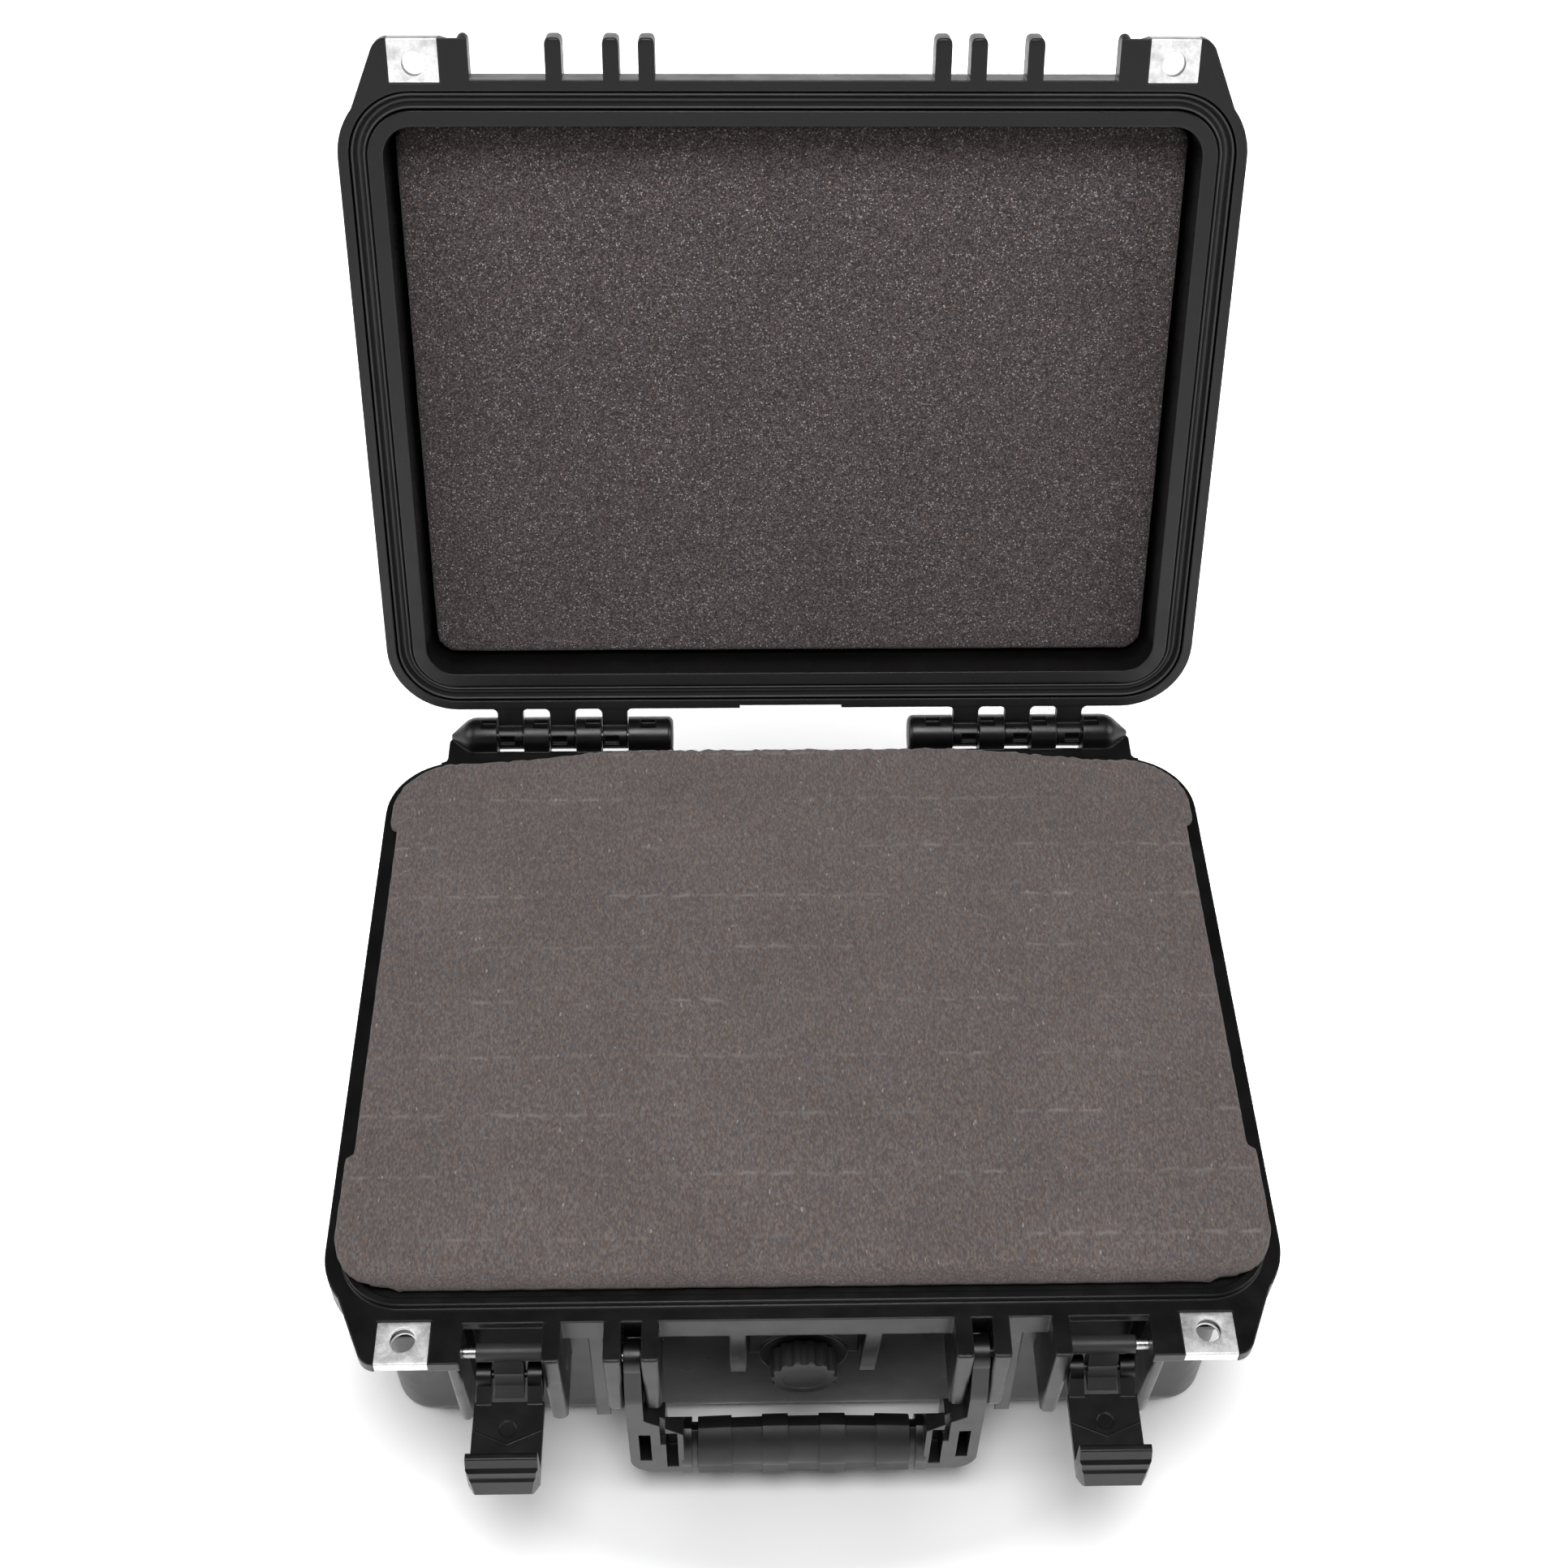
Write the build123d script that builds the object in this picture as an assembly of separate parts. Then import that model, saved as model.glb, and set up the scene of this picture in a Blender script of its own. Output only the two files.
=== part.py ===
"""Hard protective carry case for a clinic's otoscope, standing open.

Two moulded shells meet at a gasketed rim. Two steel pins hinge the lid, two over-centre
latches and a drop handle sit on the front, and a pressure valve is screwed into the front
wall. Foam lines both halves. Millimetres, +Z up, +Y towards the hinge. The origin is on the
ground, under the centre of the rim.
"""
import os
from math import cos, radians, sin, tan

from build123d import *

# ---------------------------------------------------------------- driving dimensions
# Case
case_width = 339.0            # over the rim, left to right
case_depth = 260.0            # over the rim, front to back
base_height = 106.0           # ground to the base's rim face
lid_height = 46.0             # base's rim face to the top of the closed lid
corner_radius = 28.4          # rim corner seen from above
rim_gap = 0.2                 # air between the two rim faces when closed
wall_inset = 13.2             # rim edge to the outside of the wall
wall = 3.5                    # wall and floor
draft = 0.7                   # wall taper, degrees
bottom_radius = 12.0          # outside corner between walls and floor
rim_plate = 5.0               # flat plate around the base's rim
rim_band = 11.5               # height of the rim's outside face
skirt = 3.0                   # thickness of that outside face
back_notch_half = 21.7        # half width of the shallow finger notch at the back
back_notch = 1.3              # depth of that notch
edge_round = 0.8              # small moulded edge

# Seal
tongue_inset = 6.0            # rim edge to the raised tongue
tongue_width = 3.0
tongue_height = 2.4
channel_inset = 4.0           # rim edge to the lid's gasket channel
channel_width = 7.0
channel_depth = 4.6
gasket_sole = 1.6             # rubber left under the tongue's groove
gasket_side_gap = 0.15        # rubber to channel wall
tongue_side_gap = 0.5         # tongue to rubber ridge
lid_plate = 8.0               # lid's rim plate, deep enough for the channel

# Padlock ears
ear_length = 26.7             # rim's front back to where the ear leaves the side
ear_reach = 14.8              # ear's front beyond the rim's front
ear_inner_inset = 50.6        # rim's side in to the ear's inner side
ear_shoulder = 1.1            # how far forward of that the side would meet the ear's slope
ear_front_inset = 17.3        # rim's side in to where the ear's slope would meet its front
ear_shoulder_radius = 30.0
ear_tip_radius = 6.6
ear_thickness = 5.0
clip_inset = 39.9             # rim's side in to the steel clip's inner side
clip_width = 18.7
clip_length = 16.0
clip_sheet = 1.0
clip_bend = 0.8               # outside of the clip's bend
clip_sink = 0.1               # clip face below the plastic around it
padlock_hole = 8.7
padlock_setback = 9.2         # clip's front face back to the hole
padlock_core_gap = 0.25       # plastic hole larger than the steel one, radially

# Hinge
hinge_behind = 13.7           # rim's back edge to the hinge axis
hinge_above = 1.3             # base's rim face up to the hinge axis
lid_open_angle = 108.65       # how far the lid stands open
hinge_inset = 119.0           # rim's side in to the hinge's inner end
inner_knuckle = 19.0
middle_knuckle = 10.75
outer_knuckle = 20.8
lid_arm = 10.6
knuckle_gap = 0.45            # between a base knuckle and a lid arm
knuckle_radius = 8.2
knuckle_corner = 2.4          # rounding of the hinge's inner end
knuckle_shoulder = 9.0        # hinge's outer end in to where its slope would meet the barrel
knuckle_shoulder_radius = 8.0
knuckle_tip = 1.0             # hinge's outer end in to the tip of that slope
knuckle_tip_radius = 1.0
hinge_flare = 2.4             # concave corner where the hinge and the arms meet the rims
barrel_radius = 5.6
hinge_pin_radius = 2.5
pin_press_gap = 0.01          # pin in the base's knuckles
pin_running_gap = 0.08        # pin in whatever turns on it
hinge_deck = 6.0              # solid deck behind the rim before the open slots
hinge_web_drop = 46.0         # rim face down to the end of the webs under the knuckles
arm_lift = 0.3                # underside of a lid arm above the base's rim face
arm_thickness = 5.0
pin_end_wall = 7.0            # knuckle plastic beyond the pin's end
knuckle_window = 6.3          # moulded pocket in a knuckle or arm, along the axis
knuckle_window_span = 4.6
knuckle_window_depth = 2.6
arm_window_depth = 1.7

# Front ribs
rib_reach = 14.8              # rib tips beyond the rim's front
latch_bay_inset = 78.4        # rim's side in to the latch bay's inner side
latch_bay_width = 28.3
latch_inner_rib = 6.0
latch_outer_rib = 4.1
latch_rib_drop = 53.5         # rim face down to the end of the latch ribs
latch_rib_lean = 3.5          # how far the rib's tip falls back over its drop
latch_bay_plate = 3.8
handle_slot_inner = 57.2
handle_slot_outer = 64.2
handle_rib = 6.0
handle_rib_drop = 42.5
handle_rib_lean = 1.8
back_rib_inner = 71.0
back_rib = 5.3
back_rib_drop = 65.5
rib_end_radius = 3.0
rib_tip_width = 0.8           # flat left between the two round corners of a rib's end

# Latches
latch_pin_radius = 2.0
latch_pin_forward = 6.3       # rim's front to the latch pin
latch_pin_below = 8.5         # rim face down to the latch pin
pin_seat = 3.6                # pin end buried in a rib
pin_short_seat = 2.9          # the same in the latch's thinner outer rib
link_barrel_radius = 3.2
link_barrel_width = 23.0
latch_side_gap = 0.3          # moving latch piece to rib
link_length = 12.4
link_rest_angle = 12.0        # link swung outward from straight down
link_tongue = 10.2
link_tongue_thickness = 5.0
link_knuckle_radius = 4.3
link_nose = 8.0               # link pin out to the tip of the link's stop nose
link_nose_angle = 60.0        # that tip's direction, outward from straight down
link_nose_blunt = 1.2         # flat across the tip
link_side_gap = 1.2           # link tongue to lever ear
link_pin_radius = 1.5
lever_width = 24.4
lever_ear = 5.2
lever_rest_angle = 90.0       # lever swung outward from upright
lever_face = 3.5              # inner face of the lever plate, outward of the link pin
lever_plate = 3.0
lever_window = 8.6            # link pin to the plate's edge between the ears
lever_reach = 32.7            # link pin to the underside of the hook
hook_depth = 10.0             # hook tip inward of the link pin
hook_lip = 2.5                # thickness of the hook's tip
hook_back = ((3.5, 4.1), (4.5, 5.5), (7.5, 5.9), (8.5, 6.9))  # stepped back: out from tip, up
thumb_tab = 8.4               # underside of the hook to the end of the thumb tab
thumb_tab_corner = 2.6
thumb_tab_edge = 1.0          # bevel along the end of the tab
dot_radius = 2.9              # ejector mark on the lever
dot_height = 18.4             # link pin to that mark
dot_depth = 0.3

# Handle
handle_pivot_forward = 6.3    # rim's front to the handle pivot
handle_pivot_below = 13.0     # rim face down to the handle pivot
handle_eye_radius = 6.0
handle_neck = 4.2             # where the arm leaves the eye, out from its centre both ways
handle_pin_radius = 2.0
handle_side_gap = 0.5         # arm to rib
handle_drop = 74.5            # pivot down to the handle's bottom edge
handle_front = 10.3           # arm's front face forward of the pivot
handle_back = 5.3             # arm's back face behind the pivot
handle_shoulder_drop = 15.0   # pivot down to where the arm's front face starts
handle_corner_radius = 11.0   # bottom outer corner
hand_block_inner = 44.0       # inner side of the thick lower arm
hand_arm_drop = 30.4          # pivot down to where the arm starts to widen, clear of the ribs
hand_step_inner = 52.5
hand_step_drop = 34.5
hand_step_radius = 3.0
hand_rear_inner = 50.3        # inner side of the deeper part of the lower arm
hand_groove_width = 2.0       # upright groove beside that deeper part
hand_groove_end = 50.0        # pivot down to the groove's end
hand_rear_depth = 7.3         # depth of the flat top of the deeper part
hand_block_drop = 42.0        # pivot down to the inner end of the lower arm's top
hand_block_depth = 3.6        # depth of the flat top of the thin part
hand_back_slope = 2.2         # fall of the lower arm's back for each unit of depth
slot_width = 4.3              # dark slots in the lower arm
slot_depth = 9.0
slot_outer_x = 57.9
slot_outer_drop = 41.8        # pivot down to the slot's top
slot_outer_length = 21.7
slot_inner_x = 48.2
slot_inner_drop = 40.5
slot_inner_length = 28.6
grip_half = 39.0
grip_gap = 2.2                # neck seen between grip and collar
neck_inset = 1.4              # neck smaller than the grip all round
grip_front = 8.0              # grip's flat front forward of its axis
grip_axis_forward = 2.5       # grip axis forward of the pivot
grip_height = 19.8            # at the ends
grip_arch = 1.8               # taller in the middle
grip_back = 8.7
grip_strip = 6.0              # height of the grip's flat front
grip_heel = 1.5               # bevel along the bottom of its back
grip_front_shoulder = (2.9, 3.6)  # point of the front curve: in from the front, down from the top
grip_back_shoulder = (2.0, 4.2)   # the same for the back curve
grip_back_rise = 3.0          # flat back's top above the flat front's top
grip_step = 0.6               # lowered bands below the raised ones
grip_band_edges = (5.8, 15.3, 26.6)
core_radius = 4.6             # bar inside the grip

# Pressure valve
valve_below = 51.0            # rim face down to the valve's axis
valve_boss_radius = 16.3
valve_boss = 1.5              # boss beyond the wall
valve_pad_half = 20.0
valve_hole_radius = 6.1
valve_stem_radius = 6.0
valve_bore_radius = 2.6
valve_flange_radius = 9.4
valve_flange = 2.2
seal_outer_radius = 8.6
seal_inner_radius = 7.2
seal_depth = 1.2              # groove in the flange that holds the seal
knob_radius = 12.15
knob_length = 9.5
knob_wall_gap = 0.4           # knob's back to the boss
knob_scallops = 14
knob_scallop_radius = 2.0
knob_scallop_out = 0.9        # scallop's centre beyond the knob's edge
knob_face_ring = 8.0
knob_face_step = 0.5
hub_radius = 6.8
hub_length = 6.0
nut_across = 18.0
nut_thickness = 3.6
nut_face_radius = 11.5        # flat face cut for the nut in the tapered wall
membrane_thickness = 0.6
gusset_inner = 21.1
gusset_width = 5.7
gusset_drop = 65.0

# Foam
foam_gap = 0.3                # foam to shell
bottom_pad = 12.0
lower_foam_top = 40.0         # rim face down to the joint between the two foam layers
foam_proud = 9.5              # top layer above the rim face
foam_lip_under = 3.0          # underside of the foam that laps over the rim
foam_side_lap = 7.0           # rim edge to the foam's side
foam_back_lap = 0.5
foam_front_lap = 11.5
lid_foam_depth = 16.0         # lid's rim face in to the foam
lid_foam_gap = 2.0            # lid foam to the lid's wall
lid_foam_corner = 8.0         # its corners are cut squarer than the lid's
lid_foam_edge = 7.0           # rounding of its glued side
nut_pocket = 1.0              # foam cut back around the valve's nut

# Stacking marks
stack_side_inset = 51.5       # rim's side in to the mark's centre
stack_end_inset = 52.0        # the same from the front or the back
stack_radius = 14.0
stack_depth = 1.2
stack_gap = 0.8               # recess larger than the stud
panel_inset = 34.0            # lid top: rim edge to the sunk panel
panel_depth = 1.2

# ---------------------------------------------------------------- places worked out
rim_z = base_height
side_x = case_width / 2
front_y = -case_depth / 2
back_y = case_depth / 2
mouth_inset = wall_inset + wall
hinge_y = back_y + hinge_behind
hinge_z = rim_z + hinge_above
lid_rim_z = rim_z + rim_gap
lid_top_z = rim_z + lid_height
tip_y = front_y - rib_reach
ear_front_y = front_y - ear_reach
ear_start_y = front_y + ear_length
ear_inner = side_x - ear_inner_inset
ear_front_half = side_x - ear_front_inset
clip_inner = side_x - clip_inset
hinge_inner = side_x - hinge_inset
latch_bay_inner = side_x - latch_bay_inset
latch_bay_outer = latch_bay_inner + latch_bay_width
wall_front_y = front_y + wall_inset
latch_y = front_y - latch_pin_forward
latch_z = rim_z - latch_pin_below
latch_x = latch_bay_inner + latch_side_gap + lever_width / 2
link_x = latch_bay_inner + latch_side_gap + link_barrel_width / 2
handle_y = front_y - handle_pivot_forward
handle_z = rim_z - handle_pivot_below
handle_bottom_z = handle_z - handle_drop
valve_z = rim_z - valve_below
valve_wall_y = wall_front_y + valve_below * tan(radians(draft))
boss_y = valve_wall_y - valve_boss
stack_x = side_x - stack_side_inset
stack_y = back_y - stack_end_inset
clip_x = clip_inner + clip_width / 2
overlap = 1.0                 # how far joined bodies run into each other


# ---------------------------------------------------------------- helpers
def block(x_low, x_high, y_low, y_high, z_low, z_high):
    """Box between two corners."""
    size = Box(x_high - x_low, y_high - y_low, z_high - z_low)
    return Pos((x_low + x_high) / 2, (y_low + y_high) / 2, (z_low + z_high) / 2) * size


def rim_outline(inset):
    """The rim seen from above, drawn in by the inset."""
    radius = max(corner_radius - inset, 2.0)
    return RectangleRounded(case_width - 2 * inset, case_depth - 2 * inset, radius)


def slab(outline, z_low, z_high):
    """A flat outline given height."""
    return extrude(Pos(0, 0, z_low) * outline, z_high - z_low)


def rim_ring(outer_inset, inner_inset, z_low, z_high):
    """A ring that follows the rim."""
    return slab(rim_outline(outer_inset) - rim_outline(inner_inset), z_low, z_high)


def side_plate(points, x_low, x_high, radii=None):
    """A plate square to X, from its outline in Y and Z."""
    radii = radii or [0.0] * len(points)
    outline = make_face(FilletPolyline(*points, radius=radii, close=True))
    return extrude(Plane.YZ.offset(x_low) * outline, x_high - x_low)


def front_plate(points, y_front, y_back, radii):
    """A plate square to Y, from its outline in X and Z."""
    outline = make_face(FilletPolyline(*points, radius=radii, close=True))
    return extrude(Plane.XZ.offset(-y_back) * outline, y_back - y_front)


def rod_x(x_low, x_high, y, z, radius):
    """A round bar along X."""
    bar = Cylinder(radius, x_high - x_low)
    return Pos((x_low + x_high) / 2, y, z) * Rot(0, 90, 0) * bar


def rod_y(y_low, y_high, x, z, radius):
    """A round bar along Y."""
    bar = Cylinder(radius, y_high - y_low)
    return Pos(x, (y_low + y_high) / 2, z) * Rot(90, 0, 0) * bar


def both_sides(right):
    """The right-hand shape and its mirror image."""
    return right + mirror(right, about=Plane.YZ)


def left_of(right):
    """The mirror image of a right-hand shape."""
    return mirror(right, about=Plane.YZ)


def hollow_body(inset, depth, end_radius, z_rim, upward):
    """The tapered, round-ended body of a shell: its outside, its cavity or the foam in it."""
    direction = 1 if upward else -1
    body = extrude(Pos(0, 0, z_rim) * rim_outline(inset), direction * depth, taper=draft)
    end_face = body.faces().sort_by(Axis.Z)[-1 if upward else 0]
    return fillet(end_face.edges(), end_radius)


def hinge_spans():
    """Where the hinge's pieces lie along X, from the inside out: knuckle, arm, knuckle, arm."""
    widths = [inner_knuckle, lid_arm, middle_knuckle, lid_arm, middle_knuckle, lid_arm,
              outer_knuckle]
    spans = []
    start = hinge_inner
    for width in widths:
        spans.append((start, start + width))
        start += width + knuckle_gap
    return spans


def base_spans():
    """The base's knuckles along X."""
    return hinge_spans()[0::2]


def arm_spans():
    """The lid's hinge arms along X."""
    return hinge_spans()[1::2]


def flared_tab(x_low, x_high, y_end, z_low, z_high):
    """A tab behind the rim that spreads with a concave corner where it meets the rim."""
    spread = hinge_flare * 1.1
    points = [
        (x_low - spread, back_y - skirt), (x_low - spread, back_y), (x_low, back_y),
        (x_low, y_end), (x_high, y_end),
        (x_high, back_y), (x_high + spread, back_y), (x_high + spread, back_y - skirt),
    ]
    radii = [0, 0, hinge_flare, 0, 0, hinge_flare, 0, 0]
    return slab(make_face(FilletPolyline(*points, radius=radii, close=True)), z_low, z_high)


def ear_outline():
    """One padlock ear seen from above, running back into the rim."""
    points = [
        (side_x - skirt * 6, ear_start_y + corner_radius),
        (side_x, ear_start_y + corner_radius),
        (side_x, ear_start_y - ear_shoulder),
        (ear_front_half, ear_front_y),
        (ear_inner, ear_front_y),
        (ear_inner, front_y + skirt),
    ]
    radii = [0, 0, ear_shoulder_radius, ear_tip_radius, 0, 0]
    return make_face(FilletPolyline(*points, radius=radii, close=True))


def turned_open(shape):
    """Move a piece of the closed lid to where it stands open."""
    return shape.rotate(Axis((0, hinge_y, hinge_z), (1, 0, 0)), -lid_open_angle)


# ---------------------------------------------------------------- padlock clips
def clip_shape(face_z, toward):
    """A bent steel clip around an ear; the ear's thickness runs from face_z by toward."""
    outer_low, outer_high = sorted((face_z + toward * clip_sink,
                                    face_z + toward * (ear_thickness - clip_sink)))
    x_low = clip_inner
    x_high = clip_inner + clip_width
    y_back = ear_front_y + clip_length
    body = block(x_low, x_high, ear_front_y, y_back, outer_low, outer_high)
    body = fillet(body.edges().filter_by(Axis.X).group_by(Axis.Y)[0], clip_bend)
    body -= block(x_low, x_high, ear_front_y + clip_sheet, y_back,
                  outer_low + clip_sheet, outer_high - clip_sheet)
    body -= Pos(clip_x, ear_front_y + padlock_setback, face_z) * Cylinder(
        padlock_hole / 2, ear_thickness * 3)
    return body


def clip_room(face_z, toward):
    """Plastic taken away from an ear so that the clip lies flush."""
    core_low, core_high = sorted((face_z + toward * (clip_sink + clip_sheet),
                                  face_z + toward * (ear_thickness - clip_sink - clip_sheet)))
    y_back = ear_front_y + clip_length
    room = block(clip_inner, clip_inner + clip_width, ear_front_y - overlap, y_back,
                 core_low - ear_thickness, core_high + ear_thickness)
    room -= block(clip_inner, clip_inner + clip_width, ear_front_y + clip_sheet, y_back,
                  core_low, core_high)
    room += Pos(clip_x, ear_front_y + padlock_setback, face_z) * Cylinder(
        padlock_hole / 2 + padlock_core_gap, ear_thickness * 3)
    return room


# ---------------------------------------------------------------- base
def knuckle_barrel(x_low, x_high, inner_end, outer_end):
    """A knuckle's barrel; the hinge's inner end is rounded and its outer end slopes to a tip."""
    points = [(x_low, 0), (x_low, knuckle_radius)]
    radii = [0, knuckle_corner if inner_end else 0]
    if outer_end:
        points += [(x_high - knuckle_shoulder, knuckle_radius),
                   (x_high - knuckle_tip, knuckle_tip_radius), (x_high - knuckle_tip, 0)]
        radii += [knuckle_shoulder_radius, 0, 0]
    else:
        points += [(x_high, knuckle_radius), (x_high, 0)]
        radii += [0, 0]
    profile = make_face(FilletPolyline(*points, radius=radii, close=True))
    return Pos(0, hinge_y, hinge_z) * revolve(profile, Axis.X)


def base_knuckle(x_low, x_high, inner_end, outer_end):
    """One hinge knuckle with the web that carries it."""
    web = side_plate(
        [(back_y - overlap, rim_z), (hinge_y, rim_z), (hinge_y, hinge_z - knuckle_radius),
         (back_y + hinge_deck, rim_z - rim_band), (back_y - overlap, rim_z - rim_band)],
        x_low, x_high)
    corners = [0, knuckle_corner if inner_end else 0, knuckle_corner if outer_end else 0, 0]
    plan = [(x_low, back_y - overlap), (x_low, hinge_y), (x_high, hinge_y),
            (x_high, back_y - overlap)]
    web &= slab(make_face(FilletPolyline(*plan, radius=corners, close=True)),
                hinge_z - knuckle_radius * 2, rim_z)
    return knuckle_barrel(x_low, x_high, inner_end, outer_end) + web


def hinge_side():
    """The right-hand hinge structure of the base, solid, before its bore."""
    spans = base_spans()
    last = len(spans) - 1
    side = flared_tab(spans[0][0], spans[-1][1], back_y + hinge_deck, rim_z - rim_band, rim_z)
    for number, (x_low, x_high) in enumerate(spans):
        side += base_knuckle(x_low, x_high, number == 0, number == last)
        middle = (x_low + x_high) / 2
        side += side_plate(
            [(back_y - wall_inset - overlap, rim_z - rim_band), (hinge_y - hinge_deck, rim_z - rim_band),
             (back_y - wall_inset - overlap, rim_z - hinge_web_drop)],
            middle - skirt / 2, middle + skirt / 2)
    return side


def hinge_rod(radius):
    """A bar on the hinge axis, as long as the right-hand pin."""
    spans = base_spans()
    return rod_x(spans[0][0] + pin_end_wall, spans[-1][1] - pin_end_wall, hinge_y, hinge_z, radius)


def hinge_cuts():
    """The pin's bore and the moulded pockets in the base's knuckles, right-hand side."""
    spans = base_spans()
    cuts = hinge_rod(hinge_pin_radius + pin_press_gap)
    top = hinge_z + knuckle_radius
    starts = [x_low for x_low, x_high in spans[1:]]
    starts.append(spans[0][0] + pin_end_wall)
    for start in starts:
        cuts += block(start + edge_round / 2, start + edge_round / 2 + knuckle_window,
                      hinge_y - knuckle_window_span / 2, hinge_y + knuckle_window_span / 2,
                      top - knuckle_window_depth, top + overlap)
    return cuts


def front_rib(x_low, width, drop, reach, lean):
    """An upright rib on the front of the base, with a round end."""
    wall_y = wall_front_y + overlap
    tip = front_y - reach
    x_high = x_low + width
    end_z = rim_z - drop
    corner = (width - rib_tip_width) / 2
    rib = side_plate([(wall_y, rim_z), (tip, rim_z), (tip + lean, end_z), (wall_y, end_z)],
                     x_low, x_high, [0, edge_round, rib_end_radius, 0])
    return rib & front_plate([(x_low, rim_z), (x_high, rim_z), (x_high, end_z), (x_low, end_z)],
                             tip, wall_y, [0, 0, corner, corner])


def front_ribs():
    """Every rib on the right-hand half of the base's front."""
    ribs = front_rib(latch_bay_inner - latch_inner_rib, latch_inner_rib, latch_rib_drop,
                     rib_reach, latch_rib_lean)
    ribs += front_rib(latch_bay_outer, latch_outer_rib, latch_rib_drop, rib_reach, latch_rib_lean)
    ribs += front_rib(handle_slot_inner - handle_rib, handle_rib, handle_rib_drop,
                      rib_reach, handle_rib_lean)
    ribs += front_rib(handle_slot_outer, handle_rib, handle_rib_drop, rib_reach, handle_rib_lean)
    ribs += front_rib(back_rib_inner, back_rib, back_rib_drop, 0, 0)
    gusset_points = [(wall_front_y + overlap, rim_z - overlap), (front_y + skirt, rim_z - overlap),
                     (front_y, rim_z - rim_band), (wall_front_y - edge_round, rim_z - gusset_drop),
                     (wall_front_y + overlap * 2, rim_z - gusset_drop)]
    ribs += side_plate(gusset_points, gusset_inner, gusset_inner + gusset_width)
    return ribs


def make_base_shell():
    """The base: walls, floor, rim, ribs, ears, knuckles and valve boss in one moulding."""
    shell = hollow_body(wall_inset, base_height, bottom_radius, rim_z, False)
    shell += slab(rim_outline(0), rim_z - rim_plate, rim_z)
    shell += rim_ring(0, skirt, rim_z - rim_band, rim_z - rim_plate + overlap)
    shell += both_sides(slab(ear_outline(), rim_z - ear_thickness, rim_z))
    shell += both_sides(front_ribs())
    shell += both_sides(hinge_side())
    pad = block(-valve_pad_half, valve_pad_half, valve_wall_y - valve_boss / 2,
                valve_wall_y + overlap, valve_z, rim_z - rim_plate)
    boss = rod_y(boss_y, valve_wall_y + overlap, 0, valve_z, valve_boss_radius)
    shell += pad + boss
    bay = block(latch_bay_inner, latch_bay_outer, front_y - overlap, wall_front_y,
                rim_z - rim_band - overlap, rim_z - latch_bay_plate)
    shell -= both_sides(bay)
    shell += rim_ring(tongue_inset, tongue_inset + tongue_width, rim_z - overlap,
                      rim_z + tongue_height)
    shell -= block(-back_notch_half, back_notch_half, back_y - back_notch, back_y + overlap,
                   rim_z - rim_band - overlap, rim_z + overlap)
    shell -= hollow_body(mouth_inset, base_height - wall, bottom_radius - wall, rim_z, False)
    shell -= slab(rim_outline(mouth_inset), rim_z - overlap, rim_z + overlap)
    shell -= both_sides(hinge_cuts())
    shell -= both_sides(clip_room(rim_z, -1))
    shell -= both_sides(latch_rod(latch_pin_radius + pin_press_gap))
    shell -= both_sides(handle_rod(handle_pin_radius + pin_press_gap))
    shell -= rod_y(boss_y - overlap, valve_wall_y + wall * 2, 0, valve_z, valve_hole_radius)
    shell -= rod_y(valve_wall_y + wall, valve_wall_y + wall * 2, 0, valve_z, nut_face_radius)
    for x in (-stack_x, stack_x):
        for y in (-stack_y, stack_y):
            shell -= Pos(x, y, 0) * Cylinder(stack_radius + stack_gap, stack_depth * 2)
    return shell


# ---------------------------------------------------------------- lid
def lid_arm_shape(x_low, x_high):
    """One lid hinge arm in the closed position, with its barrel."""
    arm_low = rim_z + arm_lift
    barrel = rod_x(x_low, x_high, hinge_y, hinge_z, barrel_radius)
    arm_shape = barrel + flared_tab(x_low, x_high, hinge_y, arm_low, arm_low + arm_thickness)
    arm_shape -= rod_x(x_low - overlap, x_high + overlap, hinge_y, hinge_z,
                       hinge_pin_radius + pin_running_gap)
    window_start = x_high - edge_round - knuckle_window
    arm_shape -= block(window_start, window_start + knuckle_window,
                       hinge_y - knuckle_window_span / 2, hinge_y + knuckle_window_span / 4,
                       hinge_z - barrel_radius - overlap,
                       hinge_z - barrel_radius + arm_window_depth)
    return arm_shape


def lid_front_ribs():
    """Short ribs on the lid's front that meet the base's ribs."""
    spans = [
        (latch_bay_inner - latch_inner_rib, latch_bay_inner),
        (latch_bay_outer, latch_bay_outer + latch_outer_rib),
        (handle_slot_inner - handle_rib, handle_slot_inner),
        (handle_slot_outer, handle_slot_outer + handle_rib),
    ]
    band_top = rim_z + rim_band
    ribs = None
    for x_low, x_high in spans:
        points = [(wall_front_y + overlap, lid_rim_z), (tip_y, lid_rim_z), (tip_y, band_top),
                  (wall_front_y + overlap, band_top)]
        rib = side_plate(points, x_low, x_high, [0, edge_round, edge_round * 2, 0])
        ribs = rib if ribs is None else ribs + rib
    return ribs


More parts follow.
